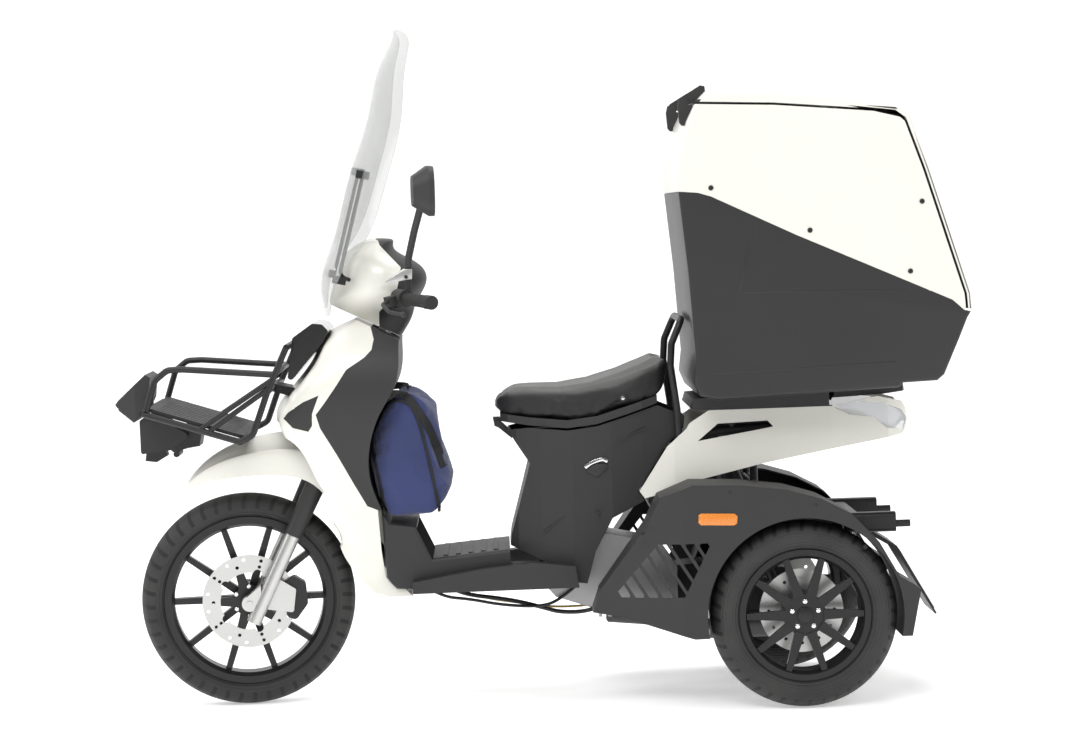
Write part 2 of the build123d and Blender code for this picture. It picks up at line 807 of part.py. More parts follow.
with BuildPart() as seat_pan:
    pan_outline = [(x, z + pan_depth) for x, z in reversed(seat_under)] + seat_under
    add(shaped(pan_outline, [(x, y - 6) for x, y in seat_plan[1:]]))
    with BuildSketch(side()):
        with BuildLine():
            closed([(740, 724), (758, 724), (754, 700), (734, 700)])
        make_face()
        with Locations(hinge_at):
            Circle(hinge_pin + running_gap, mode=Mode.SUBTRACT)
    extrude(amount=seat_eye_half, both=True)
    add(round_run([place(hinge_at[0], -20, hinge_at[1]), place(hinge_at[0], 20, hinge_at[1])],
                  hinge_pin + running_gap), mode=Mode.SUBTRACT)
seat_pan.part.label = "seat_pan"
export_step(seat_pan.part, "parts/seat_pan.step")

# Tail: white fairing wrapped round the end, with a lamp set in at each side.
tail_outline = [
    (391, 533), (318, 646), (268, 690), (262, 702), (211, 734.6), (-108, 734.6), (-222, 755),
    (-290, 738), (-311, 704),
    (-309, 683), (-291, 655), (-216, 643), (-99, 626), (76, 596), (252, 556), (341, 524), (378, 515),
]
tail_plan = [(400, 150), (300, 166), (100, 168), (-100, 152), (-250, 118), (-300, 72), (-312, 30)]
lamp_outline = [
    (-108, 732), (-160, 745), (-235, 738), (-288, 716), (-305, 692), (-291, 664), (-246, 673),
    (-211, 702), (-148, 710),
]
slot_outline = [(241, 657), (189, 700), (63, 704), (48, 688)]
with BuildPart() as tail_skin:
    add(plan_region(tail_plan, 480, 760))
    add(plan_region([(x - 2, y - panel) if x > 350 else (x + 5, y - panel) for x, y in tail_plan], 470, 770),
        mode=Mode.SUBTRACT)
with BuildPart() as tail_fairing:
    add(tail_skin.part)
    add(side_region(tail_outline), mode=Mode.INTERSECT)
    add(side_region([(x, z) for x, z in lamp_outline]), mode=Mode.SUBTRACT)
    add(side_region(slot_outline), mode=Mode.SUBTRACT)
tail_fairing.part.label = "tail_fairing"
export_step(tail_fairing.part, "parts/tail_fairing.step")

with BuildPart() as tail_lamps:
    add(tail_skin.part)
    with BuildSketch(side()):
        with BuildLine():
            closed(lamp_outline)
        make_face()
        offset(amount=-shut_gap)
    extrude(amount=400, both=True, mode=Mode.INTERSECT)
    add(profile_solid(side(), [(-400, 600), (0, 600), (0, 800), (-400, 800)], 34), mode=Mode.SUBTRACT)
tail_lamps.part.label = "tail_lamps"
export_step(tail_lamps.part, "parts/tail_lamps.step")


# Tray on the frame that carries the box.
tray_plan = [(262, 150), (250, 165), (100, 167), (-96, 152), (-112, 96), (-292, 88), (-300, 70)]
with BuildPart() as box_tray:
    add(shaped([
        (258, 742), (250, 764), (196, 767.7), (-256, 785.7), (-294, 790), (-298, 764),
        (-240, 757), (-110, 752),
        (-96, tray_under), (250, tray_under),
    ], tray_plan))
    add(shaped([
        (246, 746), (240, 760), (196, 763.7), (-256, 781.7), (-290, 785), (-294, 768),
        (-240, 761), (-108, 756),
        (-92, 700), (246, 700),
    ], [(x - 4, y - 4) for x, y in tray_plan]), mode=Mode.SUBTRACT)
    with BuildSketch(level(tray_under)):
        for x in (150, -80):
            with Locations((x, 0)):
                Rectangle(26, 290)
    extrude(amount=30)
box_tray.part.label = "box_tray"
export_step(box_tray.part, "parts/box_tray.step")

# Grab rail behind the seat: one tube bent over from side to side.
grab_tube = 9.0
grab_side = [(rail_foot_x, 150, 630.3), (290, 151, 740), (304, 156, 850), (300, 154, 905), (273, 146, 966)]
with BuildPart() as grab_rail:
    add(round_run(
        [place(*p) for p in grab_side] + [place(x, -y, z) for x, y, z in reversed(grab_side)], grab_tube, 26.0,
    ))
grab_rail.part.label = "grab_rail"
export_step(grab_rail.part, "parts/grab_rail.step")

# Load box: a tub, a shell standing on it and a lid that is roof and tailgate in one.
box_outline = [
    (231, 1508), (254, 1462), (278, 1379), (283, 1312), (262, 1091), (248, 869), (255, 814),
    (241, 779), (196, 768),
    (-256, 786), (-266, 797), (-351, 800), (-369, 815), (-408, 903), (-430, 955), (-442, 974), (-440, 1015),
    (-396, 1160), (-344, 1327), (-300, 1457), (-276, 1480), (-145, 1499), (-128, 1509),
    (37, 1527), (203, 1537),
]


def box_form(inset):
    """Solid of the load box, brought in by a wall."""
    with BuildPart() as form:
        with BuildSketch(side()):
            with BuildLine():
                closed(box_outline)
            make_face()
            if inset:
                offset(amount=-inset)
        extrude(amount=box_half - inset, both=True)
        with BuildSketch(level(700)):
            with Locations((-80, 0)):
                RectangleRounded(1000, 2 * (box_half - inset), 60)
        extrude(amount=900, mode=Mode.INTERSECT)
    return form.part


waist = [(300, 1289), (274, 1287), (232, 1283), (200, 1273), (-8, 1172), (-228, 1073), (-393, 999), (-424, 971)]
lid_edge = [
    (300, 1512), (231, 1509), (38, 1501), (-262, 1474), (-290, 1449), (-333, 1327), (-385, 1160),
    (-429, 1015),
    (-432, 976), (-500, 972),
]
box_walls = box_form(0) - box_form(box_wall)
with BuildPart() as lid_room:
    with BuildSketch(side()):
        with BuildLine():
            closed(lid_edge + [(-500, 1600), (300, 1600)])
        make_face()
    extrude(amount=400, both=True)
with BuildPart() as lid_room_wide:
    with BuildSketch(side()):
        with BuildLine():
            closed(lid_edge + [(-500, 1600), (300, 1600)])
        make_face()
        offset(amount=moving_gap)
    extrude(amount=400, both=True)

with BuildPart() as box_tub:
    add(box_walls)
    add(side_region(waist + [(-500, 966), (-500, 700), (300, 700)]), mode=Mode.INTERSECT)
    add(lid_room_wide.part, mode=Mode.SUBTRACT)
box_tub.part.label = "box_tub"
export_step(box_tub.part, "parts/box_tub.step")

with BuildPart() as box_shell:
    add(box_walls)
    add(side_region([(x, z + shut_gap) for x, z in waist] + [(-500, 1600), (300, 1600)]), mode=Mode.INTERSECT)
    add(lid_room_wide.part, mode=Mode.SUBTRACT)
box_shell.part.label = "box_shell"
export_step(box_shell.part, "parts/box_shell.step")

with BuildPart() as box_lid:
    add(box_walls)
    add(lid_room.part, mode=Mode.INTERSECT)
box_lid.part.label = "box_lid"
export_step(box_lid.part, "parts/box_lid.step")

# Lid hinges: a forked bracket on the shell's front and a leaf on the lid, on one pin at each side.
lid_pivot = (258.0, 1512.0)
lid_pin = 5.0
bracket_half = 240.0
leaf_half = 4.5
fork_gap = 0.5
fork_wall = 5.0


def at_brackets(made_one):
    """The same hinge piece at both sides."""
    with BuildPart() as both:
        for way in (-1, 1):
            add(Pos(0, way * bracket_half, 0) * made_one)
    return both.part


with BuildPart() as bracket:
    with BuildSketch(side()):
        with BuildLine():
            closed([
                (254.4, 1462.2), (235, 1501), (246, 1502), (248, 1518), (258, 1524), (269, 1518),
                (273, 1500),
                (270, 1460), (264, 1452), (257.3, 1452),
            ])
        make_face()
    extrude(amount=leaf_half + fork_gap + fork_wall, both=True)
    with BuildSketch(side()):
        with BuildLine():
            closed([(220, 1600), (220, 1488), (300, 1488), (300, 1600)])
        make_face()
    extrude(amount=leaf_half + fork_gap, both=True, mode=Mode.SUBTRACT)
    with BuildSketch(side()):
        with Locations(lid_pivot):
            Circle(lid_pin)
    extrude(amount=leaf_half + fork_gap + fork_wall, both=True)
lid_hinges = at_brackets(bracket.part)
lid_hinges.label = "lid_hinges"
export_step(lid_hinges, "parts/lid_hinges.step")

with BuildPart() as leaf:
    with BuildSketch(side()):
        with BuildLine():
            closed([
                (250, 1504), (262, 1503), (268, 1512), (262, 1524), (216, 1551), (205, 1549),
                (203.4, 1537.4),
                (231.4, 1508.6),
            ])
        make_face()
        with Locations(lid_pivot):
            Circle(lid_pin + running_gap, mode=Mode.SUBTRACT)
    extrude(amount=leaf_half, both=True)
lid_leaves = at_brackets(leaf.part)
lid_leaves.label = "lid_leaves"
export_step(lid_leaves, "parts/lid_leaves.step")

# Rear wings: hollow mudguards over the wheels, with a louvred side panel ahead of each.
wing_outer = 386.0
wing_inner = 206.0
arch_gap = 10.0
wing_top = [
    (386, 465), (352, 534), (271, 566), (151, 562), (38, 548), (-45, 523), (-118, 484),
    (-185, 412), (-233, 326),
    (-262, 308), (-286, 292), (-262, 176), (-238, 176),
]
wing_foot = [(236, 185), (275, 184), (361, 211), (445, 237), (523, 248), (504, 304)]
wing_plan = [(560, 280), (520, 300), (400, 352), (300, wing_outer), (-300, wing_outer)]
grille_outline = [(473, 287), (360, 420), (229, 422), (298, 289)]
louvre_pitch = 34.0
louvre_width = 21.0
louvre_lean = 58.0


def wing_form(inset):
    """Solid of the left wing with its wheel arch, brought in by a wall."""
    with BuildPart() as form:
        with BuildSketch(side()):
            with BuildLine():
                closed(wing_top + wing_foot)
            make_face()
            if inset:
                offset(amount=-inset)
            with Locations((0, rear_radius)):
                Circle(rear_radius + arch_gap + inset, mode=Mode.SUBTRACT)
        extrude(amount=-500)
        with BuildSketch(level(100)):
            with BuildLine():
                closed([(x, y - inset) for x, y in wing_plan] + [(-300, wing_inner - inset), (560, wing_inner - inset)])
            make_face()
        extrude(amount=600, mode=Mode.INTERSECT)
    return form.part


with BuildPart() as louvres:
    with BuildSketch(side()):
        with BuildLine():
            closed(grille_outline)
        make_face()
        with BuildSketch(mode=Mode.INTERSECT):
            with Locations(*[(345 + louvre_pitch * k, 355) for k in range(-4, 5)]):
                SlotOverall(170, louvre_width, rotation=louvre_lean)
    extrude(amount=-500)
with BuildPart() as left_wing:
    add(wing_form(0))
    add(wing_form(panel), mode=Mode.SUBTRACT)
    add(louvres.part, mode=Mode.SUBTRACT)
wings = {"rear_wing_left": left_wing.part, "rear_wing_right": mirror(left_wing.part, about=Plane.XZ)}
for wing, shape in wings.items():
    shape.label = wing
    export_step(shape, "parts/" + wing + ".step")

# Rear axle: beam and stub axles, arm to the engine, and a spring unit on each side.
beam_radius = 32.0
beam_half = 190.0
stub_end = track_half + rear_face - 6.0
shock_low = (40.0, 262.0)
shock_high = (196.2, 666.4)
with BuildPart() as rear_suspension:
    with BuildSketch(hub_plane(0, 0, rear_radius)):
        with BuildLine():
            closed([
                (-stub_end, 0), (-stub_end, stub_radius), (-beam_half, stub_radius),
                (-beam_half, beam_radius),
                (beam_half, beam_radius), (beam_half, stub_radius), (stub_end, stub_radius), (stub_end, 0),
            ])
        make_face()
    revolve(axis=Axis((rear_axle_x, 0, rear_radius), (0, 1, 0)))
    with BuildSketch(side()):
        with BuildLine():
            closed([(20, 262), (-24, 254), (-28, 214), (30, 200), (296.6, 232), (296.6, 330), (230, 336), (120, 290)])
        make_face()
    extrude(amount=62, both=True)
    for way in (-1, 1):
        low = place(shock_low[0], way * 88, shock_low[1])
        high = place(shock_high[0], way * 88, shock_high[1])
        add(round_run([place(0, way * 88, rear_radius), low], 14))
        add(round_run([low, high], 11))
        middle = low + (high - low) * 0.30
        add(round_run([middle, low + (high - low) * 0.86], 27))
rear_suspension.part.label = "rear_suspension"
export_step(rear_suspension.part, "parts/rear_suspension.step")

# Power unit: one block at its place and size, with a ribbed sump.
with BuildPart() as power_unit:
    add(profile_solid(side(), [
        (640, 296), (610, 262), (522, 232), (420, 214), (330, 218), (297, 236), (297, 330),
        (340, 392), (470, 419.7),
        (572, 419.7), (630, 340),
    ], unit_half, 8))
    with BuildSketch(side()):
        with Locations(*[(400 + 24 * k, 220) for k in range(5)]):
            Rectangle(8, 34)
    extrude(amount=60, both=True)
power_unit.part.label = "power_unit"
export_step(power_unit.part, "parts/power_unit.step")

# Exhaust: pipe below the unit and a silencer behind it, on the right.
with BuildPart() as exhaust:
    pipe_route = [place(470, -40, 188.7), place(380, -110, 170), place(250, -120, 150), place(200, -120, 150)]
    add(round_run(pipe_route, 14, 40))
    with BuildSketch(across(205)):
        with Locations((-120, 150)):
            Circle(38)
    extrude(amount=-330)
exhaust.part.label = "exhaust"
export_step(exhaust.part, "parts/exhaust.step")

# Rear bar with its end lamps, and the blank plate holder below it.
rear_bar_z = 440.0
rear_bar_half = 183.7
with BuildPart() as rear_bar:
    for way in (-1, 1):
        with BuildSketch(across(-120)):
            with Locations((way * rear_bar_half, rear_bar_z)):
                RectangleRounded(44, 50, 12)
        extrude(amount=-132)
        with BuildSketch(across(-240)):
            with Locations((way * rear_bar_half, rear_bar_z - 6)):
                Circle(9)
        extrude(amount=-50)
    with BuildSketch(side()):
        with Locations((-150, rear_bar_z)):
            RectangleRounded(40, 36, 8)
    extrude(amount=rear_bar_half, both=True)
    with BuildSketch(side()):
        with BuildLine():
            closed([(-160, 436), (-268, 366), (-366, 190), (-362, 187), (-262, 360), (-160, 420)])
        make_face()
    extrude(amount=95, both=True)
rear_bar.part.label = "rear_bar"
export_step(rear_bar.part, "parts/rear_bar.step")

# Rack in front of the shield: bent tubes on each side joined by cross tubes.
rack_bend = 26.0
rack_low = [(1633, 776), (1391, 698), (1358, 714), (1318, 822), (1268, 930)]
rack_high = [(1622, 783), (1598, 858), (1566, 883), (1528, 884), (1303, 864)]
rack_braces = [((1493, 731), (1305, 850)), ((1470, 724), (1324, 822))]
deck_rise = 8.3
with BuildPart() as front_rack:
    for way in (-1, 1):
        for route in (rack_low, rack_high):
            add(round_run([place(x, way * rack_half, z) for x, z in route], rack_tube, rack_bend))
        for start, end in rack_braces:
            ends = [place(x, way * rack_half, z) for x, z in (start, end)]
            add(round_run(ends, 6))
    for x, z in (rack_low[0], rack_low[1], rack_low[-1], rack_high[-1], (1318, 822)):
        add(round_run([place(x, -rack_half, z), place(x, rack_half, z)], rack_tube))
    with BuildSketch(side()):
        with BuildLine():
            closed([(1322, 832), (1322, 812), (1250, 790), (1250, 815)])
        make_face()
    extrude(amount=58, both=True)
    add(shield_form(-seat_gap), mode=Mode.SUBTRACT)
front_rack.part.label = "front_rack"
export_step(front_rack.part, "parts/front_rack.step")

# Slatted deck lying on the rack's bottom tubes.
deck_run = rack_low[0][0] - rack_low[1][0]
deck_climb = rack_low[0][1] - rack_low[1][1]
deck_plane = Plane(
    origin=(rear_axle_x + rack_low[1][0], 0, rack_low[1][1]),
    x_dir=(deck_run, 0, deck_climb), z_dir=(-deck_climb, 0, deck_run),
)
deck_long = 250.0
deck_half = 232.0
deck_thick = 9.0
with BuildPart() as rack_deck:
    with BuildSketch(deck_plane.offset(deck_rise)):
        with Locations((deck_long / 2 - 4, 0)):
            RectangleRounded(deck_long, 2 * deck_half, 14)
            with GridLocations(0, 44, 1, 10):
                SlotOverall(deck_long - 40, 10, mode=Mode.SUBTRACT)
    extrude(amount=deck_thick)
rack_deck.part.label = "rack_deck"
export_step(rack_deck.part, "parts/rack_deck.step")

# Headlamp ahead of the rack: a tapered shell with a lens in its front.
lamp_half = 90.0
lamp_outline_side = [
    (1640, 866), (1628, 858), (1634, 800), (1641.4, 786), (1641.4, 768), (1673, 744), (1712, 774),
    (1721.9, 790), (1714, 800),
]
with BuildPart() as front_lamp:
    add(shaped(lamp_outline_side, [(1620, lamp_half), (1668, lamp_half), (1722, lamp_half - 26)]))
    add(shaped(
        [(1667, 752), (1709, 781), (1740, 780), (1690, 730)], [(1620, lamp_half - 8),
        (1740, lamp_half - 26)],
    ), mode=Mode.SUBTRACT)
front_lamp.part.label = "front_lamp"
export_step(front_lamp.part, "parts/front_lamp.step")

with BuildPart() as front_lens:
    add(shaped(
        [(1668.5, 752.6), (1706, 778.6), (1709, 774.5), (1674, 747)], [(1620, lamp_half - 9),
        (1740, lamp_half - 27)],
    ))
front_lens.part.label = "front_lens"
export_step(front_lens.part, "parts/front_lens.step")

# Closed case under the rack, on a strap from its tubes, with a latch below.
with BuildPart() as rack_case:
    add(profile_solid(side(), [(1628, 762), (1646, 758), (1661, 747), (1660, 661), (1580, 670), (1535, 706)], 70, 6))
    with BuildSketch(side()):
        with BuildLine():
            closed([(1652, 662), (1655, 640), (1626, 636), (1598, 652), (1602, 668)])
        make_face()
    extrude(amount=22, both=True)
    with BuildSketch(side()):
        with Locations((1572, 657)):
            Circle(8)
    extrude(amount=46, both=True)
    with BuildSketch(side()):
        with BuildLine():
            closed([(1545, 756.1), (1500, 741.6), (1512, 676), (1540, 672), (1580, 662), (1590, 672), (1540, 706)])
        make_face()
    extrude(amount=46, both=True)
    add(rack_deck.part, mode=Mode.SUBTRACT)
rack_case.part.label = "rack_case"
export_step(rack_case.part, "parts/rack_case.step")

# Pad that closes the space between rack and shield.
with BuildPart() as rack_pad:
    add(profile_solid(side(), [
        (1258, 950), (1207, 985), (1182, 982), (1166, 965), (1182, 935), (1222, 890), (1277, 826),
    ], 150, 8))
    add(shield_form(-seat_gap), mode=Mode.SUBTRACT)
    add(round_run([place(1268, -200, 930), place(1268, 200, 930)], rack_tube + seat_gap), mode=Mode.SUBTRACT)
    add(front_rack.part, mode=Mode.SUBTRACT)
rack_pad.part.label = "rack_pad"
export_step(rack_pad.part, "parts/rack_pad.step")

# Soft bag hung on the rider's side of the shield.
bag_half = 165.0
with BuildPart() as storage_bag:
    add(profile_solid(side(), [
        (1064, 774), (990, 818), (951, 816), (914, 785), (909, 739), (896, 657), (873, 588),
        (858, 564), (876, 540),
        (888, 500), (913, 478), (1027, 478), (1046, 512), (1090, 600), (1090, 700),
    ], bag_half, 10))
    add(shield_form(-1.0), mode=Mode.SUBTRACT)
storage_bag.part.label = "storage_bag"
export_step(storage_bag.part, "parts/storage_bag.step")

# Grips and hand controls on the bar, with a socket for the mirror's stem in the left one.
mirror_stem = 9.0
mirror_route = [(978, 196, 1066), (976, 204, 1150), (962, 250, 1222), (945, 290, 1290)]
mirror_run = [steered_point(place(*p)) for p in mirror_route]
grip_start = 0.31
control_radius = 22.0


def along_bar(point_of, start, end, radius):
    """Round sleeve on the bar between two shares of its straight run."""
    first = steered_point(point_of(bar_point(start)))
    last = steered_point(point_of(bar_point(end)))
    with BuildPart() as sleeve:
        with BuildSketch(plane_along(first, last)):
            Circle(radius)
            Circle(bar_radius + running_gap, mode=Mode.SUBTRACT)
        extrude(amount=(last - first).length)
    return sleeve.part


with BuildPart() as grips:
    for point_of in (lambda p: p, mirrored):
        add(along_bar(point_of, grip_start, grip_to, grip_radius))
grips.part.label = "grips"
export_step(grips.part, "parts/grips.step")


def lever_run(point_of):
    """Brake lever: out of its perch, bowed ahead of the grip, with a round tip."""
    stops = [place(1022, 185, 1046), place(1046, 215, 1040), place(1034, 290, 1026), place(1002, 345, 1022)]
    stops = [steered_point(point_of(p)) for p in stops]
    with BuildPart() as made:
        add(round_run(stops, 5.0, 30.0))
        with Locations(Location(stops[-1])):
            Sphere(8)
    return made.part


with BuildPart() as hand_controls:
    for point_of in (lambda p: p, mirrored):
        add(along_bar(point_of, 0.04, 0.29, control_radius))
        perch = steered_point(point_of(place(1012, 180, 1047)))
        lever_root = steered_point(point_of(place(1030, 190, 1044)))
        with BuildSketch(plane_along(perch, lever_root)):
            Rectangle(26, 24)
        extrude(amount=24)
        add(lever_run(point_of))
    add(round_run(full_bar, bar_radius + running_gap), mode=Mode.SUBTRACT)
    add(round_run(mirror_run, mirror_stem + running_gap, 40.0), mode=Mode.SUBTRACT)
hand_controls.part.label = "hand_controls"
export_step(hand_controls.part, "parts/hand_controls.step")

# Cowl over the handlebar: white in front, black cover behind with the instruments.
# Each section gives the height, the front, the back and half the width.
cowl_sections = [
    (930.0, 1122.0, 986.0, 50.0),
    (985.0, 1142.0, 960.0, 56.0),
    (1022.0, 1166.0, 948.0, 88.0),
    (1062.0, 1162.0, 925.0, 134.0),
    (1105.0, 1150.0, 920.0, 140.0),
    (1142.0, 1137.0, 962.0, 122.0),
    (1172.0, 1104.0, 1000.0, 92.0),
    (1190.0, 1066.0, 1024.0, 50.0),
]
cowl_parting = [(1044, 1200), (1040, 1181), (990, 1125), (1004, 1062), (1046, 1010), (1046, 800)]
neck_gap = 6.0


def cowl_form(inset):
    """Solid of the cowl, brought in by a wall and left open at the neck."""
    with BuildPart() as form:
        for z, front, back, half in cowl_sections:
            at_end = z == cowl_sections[-1][0]
            with BuildSketch(steered(level(z - (inset if at_end else 0)))):
                with Locations(((front + back) / 2, 0)):
                    Ellipse((front - back) / 2 - inset, half - inset)
        loft()
        if not inset:
            split(bisect_by=steered(column(collar_height + neck_gap)), keep=Keep.TOP)
    return form.part


cowl_shell = cowl_form(0) - cowl_form(panel)
cowl_shell = cowl_shell - round_run(full_bar, bar_radius + 0.6)
with BuildPart() as cowl_front_room:
    with BuildSketch(steered(side())):
        with BuildLine():
            closed(cowl_parting + [(1400, 800), (1400, 1300), (1044, 1300)])
        make_face()
    extrude(amount=300, both=True)
with BuildPart() as handlebar_cowl:
    add(cowl_shell)
    add(cowl_front_room.part, mode=Mode.INTERSECT)
handlebar_cowl.part.label = "handlebar_cowl"
export_step(handlebar_cowl.part, "parts/handlebar_cowl.step")

with BuildPart() as cowl_back_room:
    with BuildSketch(steered(side())):
        with BuildLine():
            closed([(x - shut_gap, z) for x, z in cowl_parting] + [(800, 800), (800, 1300), (1044 - shut_gap, 1300)])
        make_face()
    extrude(amount=300, both=True)
with BuildPart() as instrument_cover:
    add(cowl_shell)
    add(cowl_back_room.part, mode=Mode.INTERSECT)
instrument_cover.part.label = "instrument_cover"
export_step(instrument_cover.part, "parts/instrument_cover.step")

# Windscreen: a bowed clear sheet. Each level gives the height, the middle and how far the edges bow back.
screen_levels = [
    (1000.0, 1180.0, 58.0), (1050.0, 1190.0, 62.0), (1100.0, 1188.0, 68.0), (1177.0, 1162.0, 80.0),
    (1254.0, 1137.0, 88.0), (1410.0, 1089.0, 86.0), (1544.0, 1047.0, 74.0), (1653.0, 1013.0, 58.0),
    (1740.0, 990.0, 48.0),
]
screen_half = 207.0
screen_thick = 3.0
screen_outline = [
    (0, 1011), (95, 1017), (144, 1067), (170, 1127), (196, 1177), (screen_half, 1230), (screen_half, 1590),
    (200, 1650), (176, 1695), (110, 1721), (0, 1727),
]


def screen_arc(middle, bow, shift):
    """Half-round line across the vehicle, bowed back at its ends."""
    reach = screen_half + 12
    return ThreePointArc((middle - bow - shift, -reach), (middle - shift, 0), (middle - bow - shift, reach))


with BuildPart() as windscreen:
    for z, middle, bow in screen_levels:
        with BuildSketch(steered(level(z))):
            with BuildLine():
                front_line = screen_arc(middle, bow, 0)
                back_line = screen_arc(middle, bow, screen_thick)
                Line(front_line @ 0, back_line @ 0)
                Line(front_line @ 1, back_line @ 1)
            make_face()
    loft()
    with BuildSketch(steered(across(800))):
        with BuildLine():
            Spline(*screen_outline, *[(-y, z) for y, z in reversed(screen_outline[1:-1])], periodic=True)
        make_face()
    extrude(amount=500, mode=Mode.INTERSECT)
windscreen.part.label = "windscreen"
export_step(windscreen.part, "parts/windscreen.step")

# Stays behind the screen, with a clamp block at each end of each.
stay_half = 118.0
stay_radius = 5.0
with BuildPart() as screen_stays:
    for way in (-1, 1):
        stops = [(1120, way * 96, 1096), (1146, way * stay_half, 1110), (1076, way * stay_half, 1368)]
        add(round_run([steered_point(place(*p)) for p in stops], stay_radius, 20.0))
        for x, z in ((1146, 1098), (1078, 1362)):
            with BuildSketch(steered(side(way * stay_half - 9))):
                with Locations((x + 1, z)):
                    Rectangle(34, 20, rotation=12)
            extrude(amount=-18)
    add(cowl_form(0), mode=Mode.SUBTRACT)
    add(windscreen.part, mode=Mode.SUBTRACT)
screen_stays.part.label = "screen_stays"
export_step(screen_stays.part, "parts/screen_stays.step")

# Mirror on a bent stem from the left hand control: a rim and a domed back.
mirror_centre = (298, 1323)
mirror_rim = (160, 122, 40)
mirror_back = (104, 74, 28)
with BuildPart() as left_mirror:
    add(round_run(mirror_run, mirror_stem, 40.0))
    for near, far, back in ((917, 930, mirror_rim), (930, 968, mirror_back)):
        with BuildSketch(steered(across(near))):
            with Locations(mirror_centre):
                RectangleRounded(*mirror_rim)
        with BuildSketch(steered(across(far))):
            with Locations(mirror_centre):
                RectangleRounded(*back)
        loft()
left_mirror.part.label = "left_mirror"
export_step(left_mirror.part, "parts/left_mirror.step")
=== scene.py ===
import bpy
import json
import math
from mathutils import Matrix, Vector, noise


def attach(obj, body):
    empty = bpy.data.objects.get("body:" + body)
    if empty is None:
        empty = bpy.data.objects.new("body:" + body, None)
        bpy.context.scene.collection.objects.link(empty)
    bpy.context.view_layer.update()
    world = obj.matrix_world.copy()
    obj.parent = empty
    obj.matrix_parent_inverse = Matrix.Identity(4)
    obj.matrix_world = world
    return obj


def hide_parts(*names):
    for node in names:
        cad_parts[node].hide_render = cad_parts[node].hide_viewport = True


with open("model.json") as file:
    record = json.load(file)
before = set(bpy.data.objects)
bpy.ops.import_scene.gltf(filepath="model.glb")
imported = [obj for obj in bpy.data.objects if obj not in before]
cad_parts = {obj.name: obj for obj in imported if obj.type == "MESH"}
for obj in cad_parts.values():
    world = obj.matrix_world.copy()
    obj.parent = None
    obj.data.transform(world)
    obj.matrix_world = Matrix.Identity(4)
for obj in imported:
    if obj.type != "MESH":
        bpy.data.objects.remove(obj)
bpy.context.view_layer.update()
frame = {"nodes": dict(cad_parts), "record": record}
nodes = frame["nodes"]
print("frame loaded:", len(nodes), "nodes")

rearAxle = 640.0  # the frame's origin lies this far ahead of the rear axle
steerFoot = Vector((855.0, 0.0, 0.0))
steerAxis = Vector((-math.sin(math.radians(26)), 0.0, math.cos(math.radians(26))))
parkedTurn = 6  # the bars stand turned this many degrees to the left
steerTurn = (
    Matrix.Translation(steerFoot)
    @ Matrix.Rotation(math.radians(parkedTurn), 4, steerAxis)
    @ Matrix.Translation(-steerFoot)
)


def spot(x, y, z):
    # millimetres from the rear axle, as the drawings have it, to metres in the frame
    return Vector((x - rearAxle, y, z)) / 1000


def steeredSpot(x, y, z):
    # the same, on a piece that turns with the bars
    return (steerTurn @ Vector((x - rearAxle, y, z))) / 1000


def nothingSelected():
    if bpy.context.object and bpy.context.object.mode != "OBJECT":
        bpy.ops.object.mode_set(mode="OBJECT")
    bpy.ops.object.select_all(action="DESELECT")


def pick(piece):
    nothingSelected()
    piece.select_set(True)
    bpy.context.view_layer.objects.active = piece


# camera
view = {"place": (0.10838, 7.5, 1.245), "turn": (86.9195, 1.7745, 179.0844), "lens": 97.5315}
nothingSelected()
bpy.ops.object.camera_add(location=view["place"], rotation=[math.radians(a) for a in view["turn"]])
camera = bpy.context.object
camera.data.sensor_width = 36
camera.data.lens = view["lens"]
camera.data.clip_end = 100
bpy.context.scene.camera = camera

# studio: a pale floor that sweeps up behind, and big soft lights
studio = {
    "floor": (0.93, 0.93, 0.925), "glow": 0.42, "world": 0.22,
    "wide": 40.0, "middle": 6.0, "back": -9.0, "high": 14.0, "bend": 4.0, "bendSteps": 12,
}
nothingSelected()
bpy.ops.mesh.primitive_plane_add(size=1, location=(0, studio["middle"], 0))
floor = bpy.context.object
floor.name = "studioFloor"
floor.scale = (studio["wide"], 2 * (studio["middle"] - studio["back"]), 1)
bpy.ops.object.transform_apply(location=True, rotation=True, scale=True)
bpy.ops.object.mode_set(mode="EDIT")
bpy.ops.mesh.select_all(action="DESELECT")
bpy.ops.object.mode_set(mode="OBJECT")
for edge in floor.data.edges:
    if all(floor.data.vertices[v].co.y < studio["back"] + 0.1 for v in edge.vertices):
        edge.select = True
bpy.ops.object.mode_set(mode="EDIT")
bpy.ops.mesh.select_mode(type="EDGE")
bpy.ops.mesh.extrude_region_move(TRANSFORM_OT_translate={"value": (0, 0, studio["high"])})
bpy.ops.object.mode_set(mode="OBJECT")
for edge in floor.data.edges:
    ends = [floor.data.vertices[v].co for v in edge.vertices]
    edge.select = all(e.y < studio["back"] + 0.1 and e.z < 0.1 for e in ends)
bpy.ops.object.mode_set(mode="EDIT")
bpy.ops.mesh.bevel(offset=studio["bend"], segments=studio["bendSteps"])
bpy.ops.object.mode_set(mode="OBJECT")
bpy.ops.object.shade_smooth()
paleFloor = bpy.data.materials.new("paleFloor")
paleFloor.use_nodes = True
floorShader = paleFloor.node_tree.nodes["Principled BSDF"]
floorShader.inputs["Base Color"].default_value = (*studio["floor"], 1)
floorShader.inputs["Roughness"].default_value = 0.7
floorShader.inputs["Emission Color"].default_value = (1, 1, 1, 1)
floorShader.inputs["Emission Strength"].default_value = studio["glow"]
floor.data.materials.append(paleFloor)

